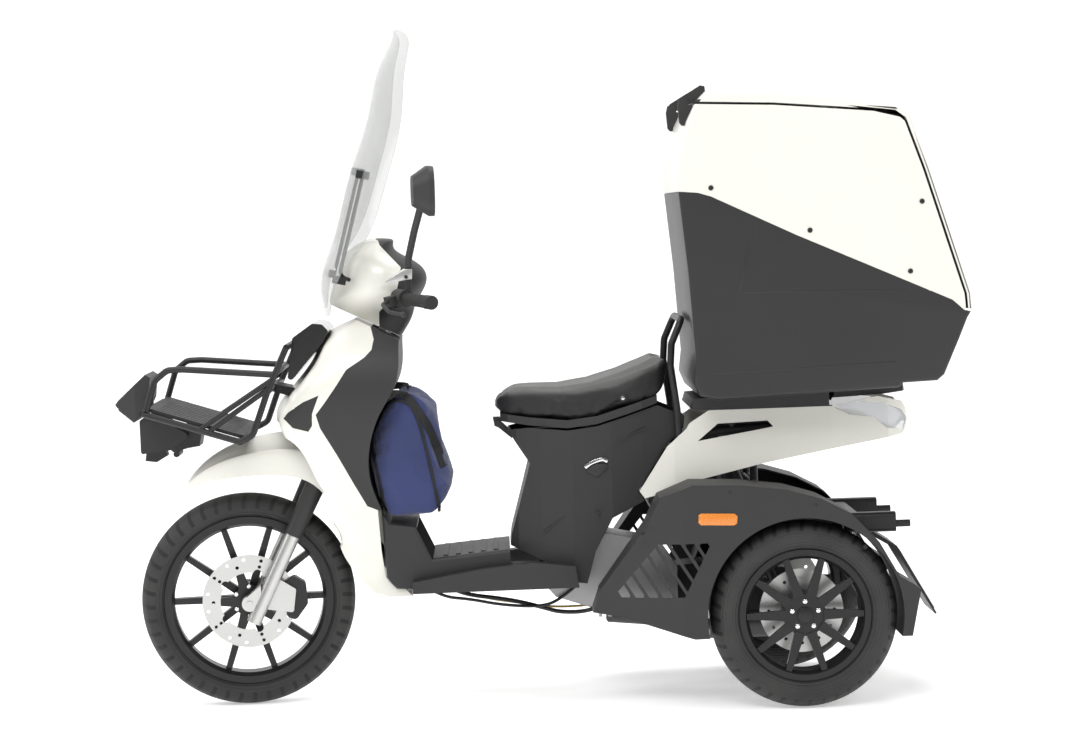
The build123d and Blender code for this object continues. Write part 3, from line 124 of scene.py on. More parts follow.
lamps = [
    {"at": (1.5, 5.5, 5.5), "aim": (0, 0, 0.6), "size": (4, 2.5), "watts": 230},
    {"at": (-4.5, 3.5, 4.0), "aim": (0, 0, 0.7), "size": (3, 3), "watts": 110},
    {"at": (4.8, 1.0, 3.5), "aim": (0.3, 0, 0.6), "size": (3, 3), "watts": 110},
    {"at": (0, -1.0, 6.5), "aim": (0, 0, 0.5), "size": (6, 4), "watts": 260},
]
for lamp in lamps:
    nothingSelected()
    aim = Vector(lamp["aim"]) - Vector(lamp["at"])
    turn = aim.to_track_quat("-Z", "Y").to_euler()
    bpy.ops.object.light_add(type="AREA", location=lamp["at"], rotation=turn)
    light = bpy.context.object.data
    light.shape = "RECTANGLE"
    light.size, light.size_y = lamp["size"]
    light.energy = lamp["watts"]
world = bpy.data.worlds.new("studioAir")
bpy.context.scene.world = world
world.use_nodes = True
world.node_tree.nodes["Background"].inputs[0].default_value = (1, 1, 1, 1)
world.node_tree.nodes["Background"].inputs[1].default_value = studio["world"]
bpy.context.scene.view_settings.view_transform = "Standard"
print("camera and studio ready")


class Wire:
    # an output socket that can stand in shader sums
    def __init__(self, tree, socket):
        self.tree = tree
        self.socket = socket

    def make(self, kind, settings, sockets, out=0):
        fresh = self.tree.nodes.new(kind)
        for name, value in settings.items():
            if name == "stops":
                ramp = fresh.color_ramp
                while len(ramp.elements) < len(value):
                    ramp.elements.new(0.5)
                for element, (place, shade) in zip(ramp.elements, value):
                    element.position = place
                    element.color = (*shade, 1) if isinstance(shade, tuple) else (shade, shade, shade, 1)
            else:
                setattr(fresh, name, value)
        for name, value in sockets.items():
            if isinstance(value, Wire):
                self.tree.links.new(value.socket, fresh.inputs[name])
            else:
                fresh.inputs[name].default_value = value
        return Wire(self.tree, fresh.outputs[out])

    def sum(self, kind, first, second):
        return self.make("ShaderNodeMath", {"operation": kind}, {0: first, 1: second})

    def __add__(self, other):
        return self.sum("ADD", self, other)

    def __radd__(self, other):
        return self.sum("ADD", other, self)

    def __sub__(self, other):
        return self.sum("SUBTRACT", self, other)

    def __rsub__(self, other):
        return self.sum("SUBTRACT", other, self)

    def __mul__(self, other):
        return self.sum("MULTIPLY", self, other)

    def __rmul__(self, other):
        return self.sum("MULTIPLY", other, self)

    def __lt__(self, other):
        return self.sum("LESS_THAN", self, other)

    def __gt__(self, other):
        return self.sum("GREATER_THAN", self, other)

    def waves(self):
        return self.make("ShaderNodeMath", {"operation": "SINE"}, {0: self})

    def fract(self):
        return self.make("ShaderNodeMath", {"operation": "FRACT"}, {0: self})

    def size(self):
        return self.make("ShaderNodeMath", {"operation": "ABSOLUTE"}, {0: self})

    def root(self):
        return self.make("ShaderNodeMath", {"operation": "SQRT"}, {0: self})

    def clear(self):
        return self.make("ShaderNodeClamp", {}, {"Value": self})

    def noise(self, scale, detail=4.0, rough=0.5):
        sockets = {"Vector": self, "Scale": scale, "Detail": detail, "Roughness": rough}
        return self.make("ShaderNodeTexNoise", {}, sockets)

    def cells(self, scale):
        settings = {"feature": "DISTANCE_TO_EDGE"}
        return self.make("ShaderNodeTexVoronoi", settings, {"Vector": self, "Scale": scale})

    def shades(self, stops):
        return self.make("ShaderNodeValToRGB", {"stops": stops}, {0: self})

    def mixed(self, first, second):
        # 0 gives the first colour and 1 the second
        shades = [value if isinstance(value, Wire) else (*value, 1) for value in (first, second)]
        return self.make("ShaderNodeMix", {"data_type": "RGBA"}, {0: self, 6: shades[0], 7: shades[1]}, 2)

    def bump(self, depth, strength=1.0, under=None):
        sockets = {"Height": self, "Distance": depth, "Strength": strength}
        if under is not None:
            sockets["Normal"] = under
        return self.make("ShaderNodeBump", {}, sockets)


class Finish:
    # a material with its surface shader, its object coordinates and its wires
    def __init__(self, name, **fixed):
        self.material = bpy.data.materials.new(name)
        self.material.use_nodes = True
        self.tree = self.material.node_tree
        self.shader = self.tree.nodes["Principled BSDF"]
        self.place = Wire(self.tree, None).make("ShaderNodeTexCoord", {}, {}, "Object")
        self.fix(**fixed)

    def fix(self, **fixed):
        for name, value in fixed.items():
            socket = self.shader.inputs[name.replace("_", " ")]
            if isinstance(value, Wire):
                self.tree.links.new(value.socket, socket)
            elif isinstance(value, tuple):
                socket.default_value = (*value, 1)
            else:
                socket.default_value = value

    def moved(self, location=(0, 0, 0), scale=(1, 1, 1)):
        sockets = {"Vector": self.place, "Location": location, "Scale": scale}
        return self.place.make("ShaderNodeMapping", {}, sockets)

    def axes(self, vector=None):
        vector = vector or self.place
        return [vector.make("ShaderNodeSeparateXYZ", {}, {"Vector": vector}, out) for out in range(3)]


def moulded(name, colour, rough, grain=900.0, depth=0.00015, drift=0.05, coat=0.0):
    # moulded or painted surface: fine grain, slow drift of shade and of gloss
    finish = Finish(name, Coat_Weight=coat, Coat_Roughness=0.12)
    slow = finish.place.noise(3.2, 3.0)
    fine = finish.place.noise(grain, 2.0)
    darker = tuple(c * (1 - drift) for c in colour)
    lighter = tuple(min(1.0, c * (1 + drift)) for c in colour)
    finish.fix(
        Base_Color=slow.shades([(0.3, darker), (0.7, lighter)]),
        Roughness=(slow * 0.12 + (rough - 0.06) + fine * 0.06).clear(),
        Normal=fine.bump(depth, 0.6),
    )
    return finish.material


def metalled(name, colour, rough, metal=1.0, grain=(60.0, 60.0, 60.0), depth=0.0001, drift=0.08):
    finish = Finish(name, Metallic=metal)
    streaks = finish.moved(scale=grain).noise(8.0, 4.0)
    slow = finish.place.noise(6.0, 3.0)
    darker = tuple(c * (1 - drift) for c in colour)
    finish.fix(
        Base_Color=slow.shades([(0.3, darker), (0.7, colour)]),
        Roughness=(streaks * 0.14 + slow * 0.08 + (rough - 0.11)).clear(),
        Normal=streaks.bump(depth, 0.5),
    )
    return finish.material


def wheelAxes(finish, centre, turn):
    # coordinates of one wheel: along its plane, across the tyre, and up
    back = finish.moved(location=tuple(-c for c in centre))
    if turn is None:
        return finish.axes(back)
    sockets = {"Vector": back, "Center": (0, 0, 0), "Axis": tuple(steerAxis), "Angle": -math.radians(turn)}
    return finish.axes(back.make("ShaderNodeVectorRotate", {"rotation_type": "AXIS_ANGLE"}, sockets))


def treaded(name, centre, turn, tread):
    # rubber with slanting blocks and ribs on its crown, and rings on its walls
    finish = Finish(name)
    along, across, up = wheelAxes(finish, centre, turn)
    radius = (along * along + up * up).root()
    angle = along.make("ShaderNodeMath", {"operation": "ARCTAN2"}, {0: up, 1: along})
    side = across.size()
    slant = (angle * (tread["blocks"] / (2 * math.pi)) + side * tread["slant"]).fract()
    cut = (slant < tread["cut"]) * (side > tread["rib"])
    ring = ((side - tread["rib"]).size() < tread["groove"]) + (side < tread["middle"])
    crown = radius > tread["shoulder"]
    grooves = ((cut + ring).clear() * crown).clear()
    walls = (radius * tread["rings"]).waves() * (1 - crown) * 0.12
    grain = finish.place.noise(700.0, 3.0)
    dust = finish.place.noise(9.0, 4.0)
    height = (1 - grooves) + walls + grain * 0.05
    rubber = dust.shades([(0.35, (0.018, 0.018, 0.018)), (0.7, (0.035, 0.035, 0.034))])
    # the grooves are painted near black over the rubber: painted shade inside them
    finish.fix(
        Base_Color=grooves.mixed(rubber, (0.006, 0.006, 0.006)),
        Roughness=(dust * 0.2 + 0.55).clear(),
        Normal=height.bump(0.004, 0.9),
    )
    return finish.material


frontHub = tuple(steeredSpot(1403, 0, 275))
frontPattern = {
    "blocks": 44, "slant": 7.0, "cut": 0.3, "rib": 0.010, "groove": 0.0016, "middle": 0.0014,
    "shoulder": 0.240, "rings": 900,
}
rearPattern = {**frontPattern, "blocks": 40, "slant": 6.0, "rib": 0.014, "shoulder": 0.210}
tyreFinish = {
    "front_tyre": treaded("frontTread", frontHub, parkedTurn, frontPattern),
    "rear_left_tyre": treaded("rearLeftTread", (-0.64, 0.32, 0.233), None, rearPattern),
    "rear_right_tyre": treaded("rearRightTread", (-0.64, -0.32, 0.233), None, rearPattern),
}


def clothed(name, colour, weave, depth):
    # woven nylon that lies in soft crumples, painted darker in their hollows as painted shade
    finish = Finish(name, Sheen_Weight=0.25, Sheen_Roughness=0.5)
    x, y, z = finish.axes()
    threads = (x * weave + z * weave).waves() * (y * weave - z * weave).waves()
    crumple = finish.place.noise(14.0, 5.0)
    darker = tuple(c * 0.7 for c in colour)
    # the colour follows the crumple noise that also bumps the cloth, so its hollows get painted shade
    finish.fix(
        Base_Color=(crumple * 0.7 + threads * 0.15 + 0.1).shades([(0.2, darker), (0.8, colour)]),
        Roughness=(crumple * 0.15 + 0.72).clear(),
        Normal=threads.bump(depth, 0.5, under=crumple.bump(0.006, 0.35)),
    )
    return finish.material


leatherGrain = {"scale": 420.0, "depth": 0.0012}


def leathered(name, colour):
    finish = Finish(name)
    cells = finish.place.cells(leatherGrain["scale"])
    slow = finish.place.noise(7.0, 4.0)
    darker = tuple(c * 0.75 for c in colour)
    finish.fix(
        Base_Color=slow.shades([(0.3, darker), (0.75, colour)]),
        Roughness=(slow * 0.2 + 0.42).clear(),
        Normal=cells.bump(leatherGrain["depth"], 0.5),
    )
    return finish.material


def glazed(name, colour, alpha, rough):
    # clear plastic with a faint film on it
    finish = Finish(name, IOR=1.49, Transmission_Weight=0.0)
    film = finish.place.noise(5.0, 3.0)
    finish.fix(
        Base_Color=film.shades([(0.3, tuple(c * 0.94 for c in colour)), (0.7, colour)]),
        Roughness=(film * 0.05 + rough).clear(),
        Alpha=(film * 0.06 + (alpha - 0.03)).clear(),
    )
    return finish.material


def ridged(name, colour, pitch, axis, depth):
    # rubber with fine ridges round a grip or along a mat
    finish = Finish(name)
    ways = finish.axes()
    ribs = (ways[axis] * (2 * math.pi / pitch)).waves()
    grain = finish.place.noise(500.0, 2.0)
    finish.fix(
        Base_Color=grain.shades([(0.3, tuple(c * 0.8 for c in colour)), (0.7, colour)]),
        Roughness=(grain * 0.15 + 0.55).clear(),
        Normal=(ribs + grain * 0.3).bump(depth, 0.8),
    )
    return finish.material


white = (0.80, 0.79, 0.725)
finishes = {
    "black_alloy": metalled("blackAlloy", (0.018, 0.018, 0.019), 0.34, metal=0.35, depth=0.00008),
    "disc_steel": metalled("discSteel", (0.55, 0.55, 0.54), 0.3, grain=(200.0, 20.0, 200.0)),
    "fork_silver": metalled("forkSilver", (0.58, 0.58, 0.57), 0.34, metal=0.9),
    "black_plastic": moulded("blackPlastic", (0.022, 0.022, 0.022), 0.5),
    "gloss_black": moulded("glossBlack", (0.012, 0.012, 0.012), 0.16, grain=300.0, depth=0.00002, coat=0.6),
    "black_metal": metalled("blackMetal", (0.02, 0.02, 0.021), 0.42, metal=0.25),
    "calliper_black": metalled("calliperBlack", (0.03, 0.03, 0.032), 0.45, metal=0.5, depth=0.0003),
    "grip_rubber": ridged("gripRubber", (0.018, 0.018, 0.018), 0.006, 1, 0.0012),
    "white_panel": moulded("whitePanel", white, 0.3, grain=250.0, depth=0.00003, drift=0.02, coat=0.4),
    "box_black": moulded("boxBlack", (0.018, 0.018, 0.019), 0.42, grain=1200.0, depth=0.0003, coat=0.05),
    "clear_screen": glazed("clearScreen", (0.42, 0.43, 0.42), 0.3, 0.04),
    "clear_lens": glazed("clearLens", (0.85, 0.86, 0.88), 0.42, 0.06),
    "cast_alloy": metalled("castAlloy", (0.42, 0.42, 0.42), 0.5, depth=0.0004),
    "exhaust_steel": metalled("exhaustSteel", (0.12, 0.12, 0.12), 0.45, metal=0.7),
    "deck_board": moulded("deckBoard", (0.02, 0.02, 0.02), 0.55, grain=200.0, depth=0.0005),
    "bag_cloth": clothed("bagCloth", (0.035, 0.05, 0.17), 3200.0, 0.0006),
    "seat_cover": leathered("seatCover", (0.04, 0.04, 0.042)),
}
slotOf = {row["node"]: row["material_slot"] for row in frame["record"]["subparts"]}


def dress(piece, material):
    piece.data.materials.clear()
    piece.data.materials.append(material)


for name, node in nodes.items():
    dress(node, tyreFinish.get(name) or finishes[slotOf[name]])
print("finishes on", len(nodes), "nodes")


def tidyCopy(name, node):
    # own mesh of a node, with its loose triangles joined up and its flat faces whole
    mesh = node.data.copy()
    piece = bpy.data.objects.new(name, mesh)
    bpy.context.scene.collection.objects.link(piece)
    pick(piece)
    bpy.ops.object.mode_set(mode="EDIT")
    bpy.ops.mesh.select_all(action="SELECT")
    bpy.ops.mesh.remove_doubles(threshold=0.00002)
    bpy.ops.mesh.dissolve_limited(angle_limit=math.radians(0.6))
    bpy.ops.object.mode_set(mode="OBJECT")
    return piece


def applied(piece, kind, **settings):
    pick(piece)
    modifier = piece.modifiers.new("step", kind)
    for name, value in settings.items():
        setattr(modifier, name, value)
    bpy.ops.object.modifier_apply(modifier=modifier.name)
    return piece


def placed(piece, body, slotName, material=None):
    # the piece's place goes into its mesh, and it rides on its body
    pick(piece)
    bpy.ops.object.transform_apply(location=True, rotation=True, scale=True)
    dress(piece, material or finishes[slotName])
    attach(piece, body)
    return piece


# load box: rounded copies of its three panels
boxPanels = {
    "box_tub": {"width": 0.011, "slot": "box_black", "body": "chassis"},
    "box_shell": {"width": 0.012, "slot": "white_panel", "body": "chassis"},
    "box_lid": {"width": 0.012, "slot": "white_panel", "body": "box_lid"},
}
# where the tub meets the shell, and the shell meets the lid, seen from the side
seamLines = [
    [(300, 1289), (274, 1287), (232, 1283), (200, 1273), (-8, 1172), (-228, 1073), (-393, 999), (-424, 971)],
    [
        (300, 1512), (231, 1509), (38, 1501), (-262, 1474), (-290, 1449),
        (-333, 1327), (-385, 1160), (-429, 1015), (-432, 976),
    ],
]
boxSide = 0.2995  # the box's sides lie further out than this
seamReach = 9  # edges this near a seam stay sharp


def nearSeam(x, z, reach):
    for line in seamLines:
        for (ax, az), (bx, bz) in zip(line, line[1:]):
            run = Vector((bx - ax, bz - az))
            share = max(0.0, min(1.0, (Vector((x - ax, z - az)) @ run) / run.length_squared))
            if (Vector((ax, az)) + run * share - Vector((x, z))).length < reach:
                return True
    return False


for name, panel in boxPanels.items():
    piece = tidyCopy(name + "Rounded", nodes[name])
    mesh = piece.data
    weights = mesh.attributes.new("bevel_weight_edge", "FLOAT", "EDGE")
    marked = 0
    for edge in mesh.edges:
        a, b = (mesh.vertices[v].co for v in edge.vertices)
        if abs(a.y) > boxSide and abs(b.y) > boxSide and a.y * b.y > 0:
            middle = (a + b) * 500
            if not nearSeam(middle.x + rearAxle, middle.z, seamReach):
                weights.data[edge.index].value = 1.0
                marked += 1
    applied(piece, "BEVEL", limit_method="WEIGHT", width=panel["width"], segments=4, use_clamp_overlap=True)
    pick(piece)
    bpy.ops.object.shade_smooth_by_angle(angle=math.radians(35))
    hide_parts(name)
    placed(piece, panel["body"], panel["slot"])
    print("rounded", name, marked, "edges")


def outlinePlate(name, points, low, high):
    # a filled ring of vertices set on the outline, then drawn out sideways
    nothingSelected()
    bpy.ops.mesh.primitive_circle_add(vertices=len(points), radius=1, fill_type="NGON", location=(0, 0, 0))
    piece = bpy.context.object
    piece.name = name
    piece.data.name = name
    for vertex, (x, z) in zip(piece.data.vertices, points):
        vertex.co = spot(x, low, z)
    bpy.ops.object.mode_set(mode="EDIT")
    bpy.ops.mesh.select_all(action="SELECT")
    bpy.ops.mesh.extrude_region_move(TRANSFORM_OT_translate={"value": (0, (high - low) / 1000, 0)})
    bpy.ops.mesh.select_all(action="SELECT")
    bpy.ops.mesh.normals_make_consistent(inside=False)
    bpy.ops.object.mode_set(mode="OBJECT")
    return piece


def eased(piece, width, segments=2):
    sharp = math.radians(30)
    applied(piece, "BEVEL", limit_method="ANGLE", angle_limit=sharp, width=width, segments=segments)
    pick(piece)
    bpy.ops.object.shade_smooth_by_angle(angle=math.radians(40))
    return piece


def ribbon(name, line, half, low, high):
    # a strip as wide as twice the half, drawn along a line seen from the side
    left, right = [], []
    for i, (x, z) in enumerate(line):
        ahead = Vector(line[min(i + 1, len(line) - 1)])
        behind = Vector(line[max(i - 1, 0)])
        run = (ahead - behind).normalized()
        left.append((x - run.y * half, z + run.x * half))
        right.append((x + run.y * half, z - run.x * half))
    return outlinePlate(name, left + right[::-1], low, high)


def joined(name, pieces):
    nothingSelected()
    for piece in pieces:
        piece.select_set(True)
    bpy.context.view_layer.objects.active = pieces[0]
    bpy.ops.object.join()
    pieces[0].name = name
    pieces[0].data.name = name
    return pieces[0]


# seal between the shell and the lid
sealLine = [
    (231, 1511), (38, 1503), (-262, 1477), (-292, 1450),
    (-336, 1327), (-388, 1160), (-432, 1015), (-435, 977),
]
sealSize = {"side": 4.0, "cross": 2.0, "inner": 286, "outer": 299.2, "span": 287, "edge": 0.001}
seal = joined("lidSeal", [
    ribbon("sealLeft", sealLine, sealSize["side"], sealSize["inner"], sealSize["outer"]),
    ribbon("sealRight", sealLine, sealSize["side"], -sealSize["outer"], -sealSize["inner"]),
    ribbon("sealTop", sealLine[:2], sealSize["cross"], -sealSize["span"], sealSize["span"]),
    ribbon("sealFoot", sealLine[-2:], sealSize["cross"], -sealSize["span"], sealSize["span"]),
])
eased(seal, sealSize["edge"])
placed(seal, "chassis", "black_plastic")


def screwAt(name, place, facing, radius):
    # a domed head with a round socket
    nothingSelected()
    turn = Vector(facing).to_track_quat("Z", "Y").to_euler()
    bpy.ops.mesh.primitive_cylinder_add(
        vertices=20, radius=radius, depth=radius * 0.9, location=place, rotation=turn
    )
    piece = bpy.context.object
    piece.name = name
    bpy.ops.object.mode_set(mode="EDIT")
    bpy.ops.mesh.select_mode(type="FACE")
    bpy.ops.object.mode_set(mode="OBJECT")
    for face in piece.data.polygons:
        face.select = face.normal.z > 0.9
    bpy.ops.object.mode_set(mode="EDIT")
    bpy.ops.mesh.bevel(offset=radius * 0.35, segments=3)
    bpy.ops.object.mode_set(mode="OBJECT")
    for face in piece.data.polygons:
        face.select = face.normal.z > 0.99
    bpy.ops.object.mode_set(mode="EDIT")
    bpy.ops.mesh.inset(thickness=radius * 0.22)
    sink = {"value": (0, 0, -radius * 0.4), "orient_type": "NORMAL"}
    bpy.ops.mesh.extrude_region_move(TRANSFORM_OT_translate=sink)
    bpy.ops.object.mode_set(mode="OBJECT")
    bpy.ops.object.shade_smooth_by_angle(angle=math.radians(40))
    return piece


def screws(name, places, radius, slotName, body, material=None):
    made = [screwAt(name + str(i), place, facing, radius) for i, (place, facing) in enumerate(places)]
    return placed(joined(name, made) if len(made) > 1 else made[0], body, slotName, material)


def bothSides(spots, y):
    return [(spot(x, way * y, z), (0, way, 0)) for x, z in spots for way in (1, -1)]


screwSets = {
    "boxScrews": {
        "spots": [(200, 1295), (-43, 1183), (-323, 1246), (-290, 1074)], "out": 300.4, "radius": 0.0065,
        "slot": "black_plastic",
    },
    "coverScrews": {"spots": [(498, 481)], "out": 168, "radius": 0.006, "slot": "black_plastic"},
    "wingScrews": {
        "spots": [(398, 452), (180, 545), (-30, 508), (-150, 400)], "out": 384.0, "radius": 0.006,
        "slot": "black_metal",
    },
}
for name, group in screwSets.items():
    screws(name, bothSides(group["spots"], group["out"]), group["radius"], group["slot"], "chassis")

# pressed lines on the tub
tubLines = [
    [(137, 1033), (101, 1185)],
    [(137, 1033), (-270, 1027), (-289, 1002)],
    [(205, 834), (-251, 849), (-265, 831)],
]
tubLineSize = {"inner": 299.6, "outer": 300.9, "half": 2.2, "edge": 0.0005}
ribs = []
for i, line in enumerate(tubLines):
    for way in (1, -1):
        near, far = sorted((way * tubLineSize["inner"], way * tubLineSize["outer"]))
        side = "L" if way > 0 else "R"
        ribs.append(ribbon("tubLine" + str(i) + side, line, tubLineSize["half"], near, far))
placed(eased(joined("tubLines", ribs), tubLineSize["edge"]), "chassis", "box_black")
print("load box dressed")


def skin(piece, x, z, way=1):
    # how far out the side of a piece lies, in millimetres, seen from the left or the right
    hit, point, normal, index = piece.ray_cast(spot(x, 900 * way, z), Vector((0, -way, 0)))
    if not hit:
        raise ValueError("no surface of " + piece.name + " at " + str((x, z)))
    return point.y * 1000


# seat cover and storage bag: stuffed forms swelled by a cloth run
softGoods = {
    "seatCushion": {
        "node": "seat_cushion", "body": "seat", "slot": "seat_cover", "voxel": 0.006, "smooth": 14,
        "shrink": -0.003, "pressure": 3.0, "cap": 0.009, "frames": 20, "fill": 0.85,
    },
    "cargoBag": {
        "node": "storage_bag", "body": "chassis", "slot": "bag_cloth", "voxel": 0.008, "smooth": 16,
        "shrink": -0.008, "pressure": 4.0, "cap": 0.016, "frames": 20, "fill": 0.6,
    },
}


def stuffed(name, facts):
    piece = tidyCopy(name, nodes[facts["node"]])
    applied(piece, "REMESH", mode="VOXEL", voxel_size=facts["voxel"])
    applied(piece, "SMOOTH", factor=0.5, iterations=facts["smooth"])
    applied(piece, "DISPLACE", strength=facts["shrink"], mid_level=0.0)
    rest = [v.co.copy() for v in piece.data.vertices]
    pick(piece)
    cloth = piece.modifiers.new("fill", "CLOTH")
    cloth.settings.use_pressure = True
    cloth.settings.uniform_pressure_force = facts["pressure"]
    cloth.settings.effector_weights.gravity = 0
    cloth.point_cache.frame_start = 1
    cloth.point_cache.frame_end = facts["frames"]
    for step in range(1, facts["frames"] + 1):
        bpy.context.scene.frame_set(step)
    bpy.ops.object.modifier_apply(modifier=cloth.name)
    for vertex, start in zip(piece.data.vertices, rest):
        move = vertex.co - start
        if move.length > facts["cap"]:
            vertex.co = start + move.normalized() * facts["cap"]
    bpy.context.scene.frame_set(1)
    applied(piece, "SMOOTH", factor=0.4, iterations=3)
    pick(piece)
    bpy.ops.object.shade_smooth()
    return piece


seatFacts = softGoods["seatCushion"]
cushion = stuffed("seatCushion", seatFacts)
# the seam between the side band and the seat's face, how wide and deep it pulls in, and how sharply the
# painted highlight on the face turns on across it
seatSeam = [(770, 784), (651, 789), (540, 786), (440, 803), (338, 848), (300, 864)]
seamShape = {"wide": 3.5, "deep": 0.0022, "blend": 1.6}


def seamHeight(x, line):
    for (ax, az), (bx, bz) in zip(line, line[1:]):
        if bx <= x <= ax:
            return bz + (az - bz) * (x - bx) / (ax - bx)
    return line[0][1] if x > line[0][0] else line[-1][1]


# share of the painted highlight: the black seat's face is painted lighter where its top catches light from
# above
face = cushion.data.attributes.new("seatFace", "FLOAT", "POINT")
for vertex in cushion.data.vertices:
    above = vertex.co.z * 1000 - seamHeight(vertex.co.x * 1000 + rearAxle, seatSeam)
    inset = math.exp(-(above / seamShape["wide"]) ** 2) * seamShape["deep"]
    face.data[vertex.index].value = 1 / (1 + math.exp(-above / seamShape["blend"]))
    vertex.co -= Vector(vertex.normal) * inset
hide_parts(seatFacts["node"])


def seatFinish():
    # dark on the side band, and lighter on the face as a painted highlight where the top catches light from
    # above, by the attribute set above
    finish = Finish("seatLeather", Specular_IOR_Level=0.35)
    cells = finish.place.cells(leatherGrain["scale"])
    top = finish.place.make("ShaderNodeAttribute", {"attribute_name": "seatFace"}, {}, 2)
    slow = finish.place.noise(7.0, 4.0)
    finish.fix(
        Base_Color=(top * (slow * 0.2 + 0.9)).clear().mixed((0.017, 0.017, 0.018), (0.11, 0.11, 0.106)),
        Roughness=(slow * 0.2 + 0.4).clear(),
        Normal=cells.bump(leatherGrain["depth"], 0.5),
    )
    return finish.material


placed(cushion, seatFacts["body"], seatFacts["slot"], seatFinish())

bagFacts = softGoods["cargoBag"]
bag = stuffed("cargoBag", bagFacts)
# large and small folds: how close together, how deep, and how far all of it is drawn in
foldShape = {"large": 11.0, "largeDeep": 0.006, "small": 27.0, "smallDeep": 0.0025, "drawnIn": 0.003}
foldShift = Vector((4, 2, 7))
for vertex in bag.data.vertices:
    largeFold = noise.noise(vertex.co * foldShape["large"]) * foldShape["largeDeep"]
    smallFold = noise.noise(vertex.co * foldShape["small"] + foldShift) * foldShape["smallDeep"]
    vertex.co += Vector(vertex.normal) * (largeFold + smallFold - foldShape["drawnIn"])
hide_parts(bagFacts["node"])
placed(bag, bagFacts["body"], bagFacts["slot"])


bandSize = {"start": 176, "lift": 0.0015, "thick": 0.003}


def wrapped(name, line, half, way, target, body, slotName, material):
    # a band laid along a line, drawn onto the surface of a soft piece
    start = way * bandSize["start"]
    piece = ribbon(name, line, half, *sorted((start, start + way * 2)))
    pick(piece)
    bpy.ops.object.mode_set(mode="EDIT")
    bpy.ops.mesh.select_all(action="SELECT")
    bpy.ops.mesh.quads_convert_to_tris()
    bpy.ops.mesh.subdivide(number_cuts=4)
    # only the outer face is kept
    bpy.ops.mesh.select_mode(type="FACE")
    bpy.ops.mesh.select_all(action="DESELECT")
    bpy.ops.object.mode_set(mode="OBJECT")
    for polygon in piece.data.polygons:
        polygon.select = polygon.normal.y * way < 0.9
    bpy.ops.object.mode_set(mode="EDIT")
    bpy.ops.mesh.delete(type="FACE")
    bpy.ops.object.mode_set(mode="OBJECT")
    applied(
        piece, "SHRINKWRAP", target=target, wrap_method="PROJECT", use_project_y=True, use_project_x=False,
        use_project_z=False, use_positive_direction=True, use_negative_direction=True,
        wrap_mode="ABOVE_SURFACE", offset=bandSize["lift"],
    )
    applied(piece, "SMOOTH", factor=0.5, iterations=4)
    applied(piece, "SOLIDIFY", thickness=bandSize["thick"], offset=0)
    pick(piece)
    bpy.ops.object.shade_smooth()
    return placed(piece, body, slotName, material)


def rounded(line, steps=5):
    # the line with its corners turned into a smooth run
    made = []
    for i in range(len(line) - 1):
        before, start = Vector(line[max(i - 1, 0)]), Vector(line[i])
        end, after = Vector(line[i + 1]), Vector(line[min(i + 2, len(line) - 1)])
        for step in range(steps):
            t = step / steps
            slope = end - before
            square = 2 * before - 5 * start + 4 * end - after
            cube = 3 * start - before - 3 * end + after
            made.append(tuple(0.5 * (2 * start + slope * t + square * t ** 2 + cube * t ** 3)))
    return made + [tuple(line[-1])]


binding = moulded("bagBinding", (0.012, 0.012, 0.014), 0.7, grain=900.0, depth=0.0004)
bagBands = {
    "Edge": ([(1072, 768), (1068, 735), (1064, 667), (1050, 587), (1036, 500)], 4.0),
    "Arch": ([(1066, 772), (1007, 783), (970, 774), (947, 731), (926, 644), (914, 582), (900, 500)], 4.5),
    "Flap": ([(1060, 790), (1006, 803), (970, 789), (931, 730), (904, 662), (886, 609)], 11.0),
}
for label, (line, half) in bagBands.items():
    for way, word in ((1, "Left"), (-1, "Right")):
        wrapped("bag" + label + word, rounded(line), half, way, bag, "chassis", "bag_cloth", binding)
print("soft goods dressed")


def tube(name, points, radius, body, slotName, material=None):
    # a bent pipe: a curve through its points, made a mesh
    nothingSelected()
    line = bpy.data.curves.new(name, "CURVE")
    line.dimensions = "3D"
    line.bevel_depth = radius
    line.bevel_resolution = 6
    line.resolution_u = 8
    line.use_fill_caps = True
    run = line.splines.new("NURBS")
    run.points.add(len(points) - 1)
    for point, place in zip(run.points, points):
        point.co = (*spot(*place), 1)
    run.order_u = 3
    run.use_endpoint_u = True
    piece = bpy.data.objects.new(name, line)
    bpy.context.scene.collection.objects.link(piece)
    pick(piece)
    bpy.ops.object.convert(target="MESH")
    piece = bpy.context.object
    bpy.ops.object.shade_smooth()
    return placed(piece, body, slotName, material)


def disc(name, place, facing, radius, depth, edge):
    # a round piece with an eased rim
    nothingSelected()
    turn = Vector(facing).to_track_quat("Z", "Y").to_euler()
    bpy.ops.mesh.primitive_cylinder_add(
        vertices=40, radius=radius, depth=depth, location=place, rotation=turn
    )
    piece = bpy.context.object
    piece.name = name
    return eased(piece, edge, 3)


# amber lens with small prisms moulded in, painted lighter on the prisms' raised parts and darker between them
# as painted glints and shade
amber = Finish("amberLens", Coat_Weight=0.6, Coat_Roughness=0.1)
prismPitch = 900
along, across, up = amber.axes()
facets = (along * prismPitch).waves() * (up * prismPitch).waves()
amber.fix(
    Base_Color=(facets * 0.3 + 0.6).clear().mixed((0.45, 0.09, 0.005), (0.95, 0.32, 0.03)),
    Roughness=(facets * 0.05 + 0.2).clear(),
    Normal=facets.bump(0.0006, 0.6),
)
chrome = metalled("chromed", (0.75, 0.75, 0.75), 0.16, metal=1.0, drift=0.03)

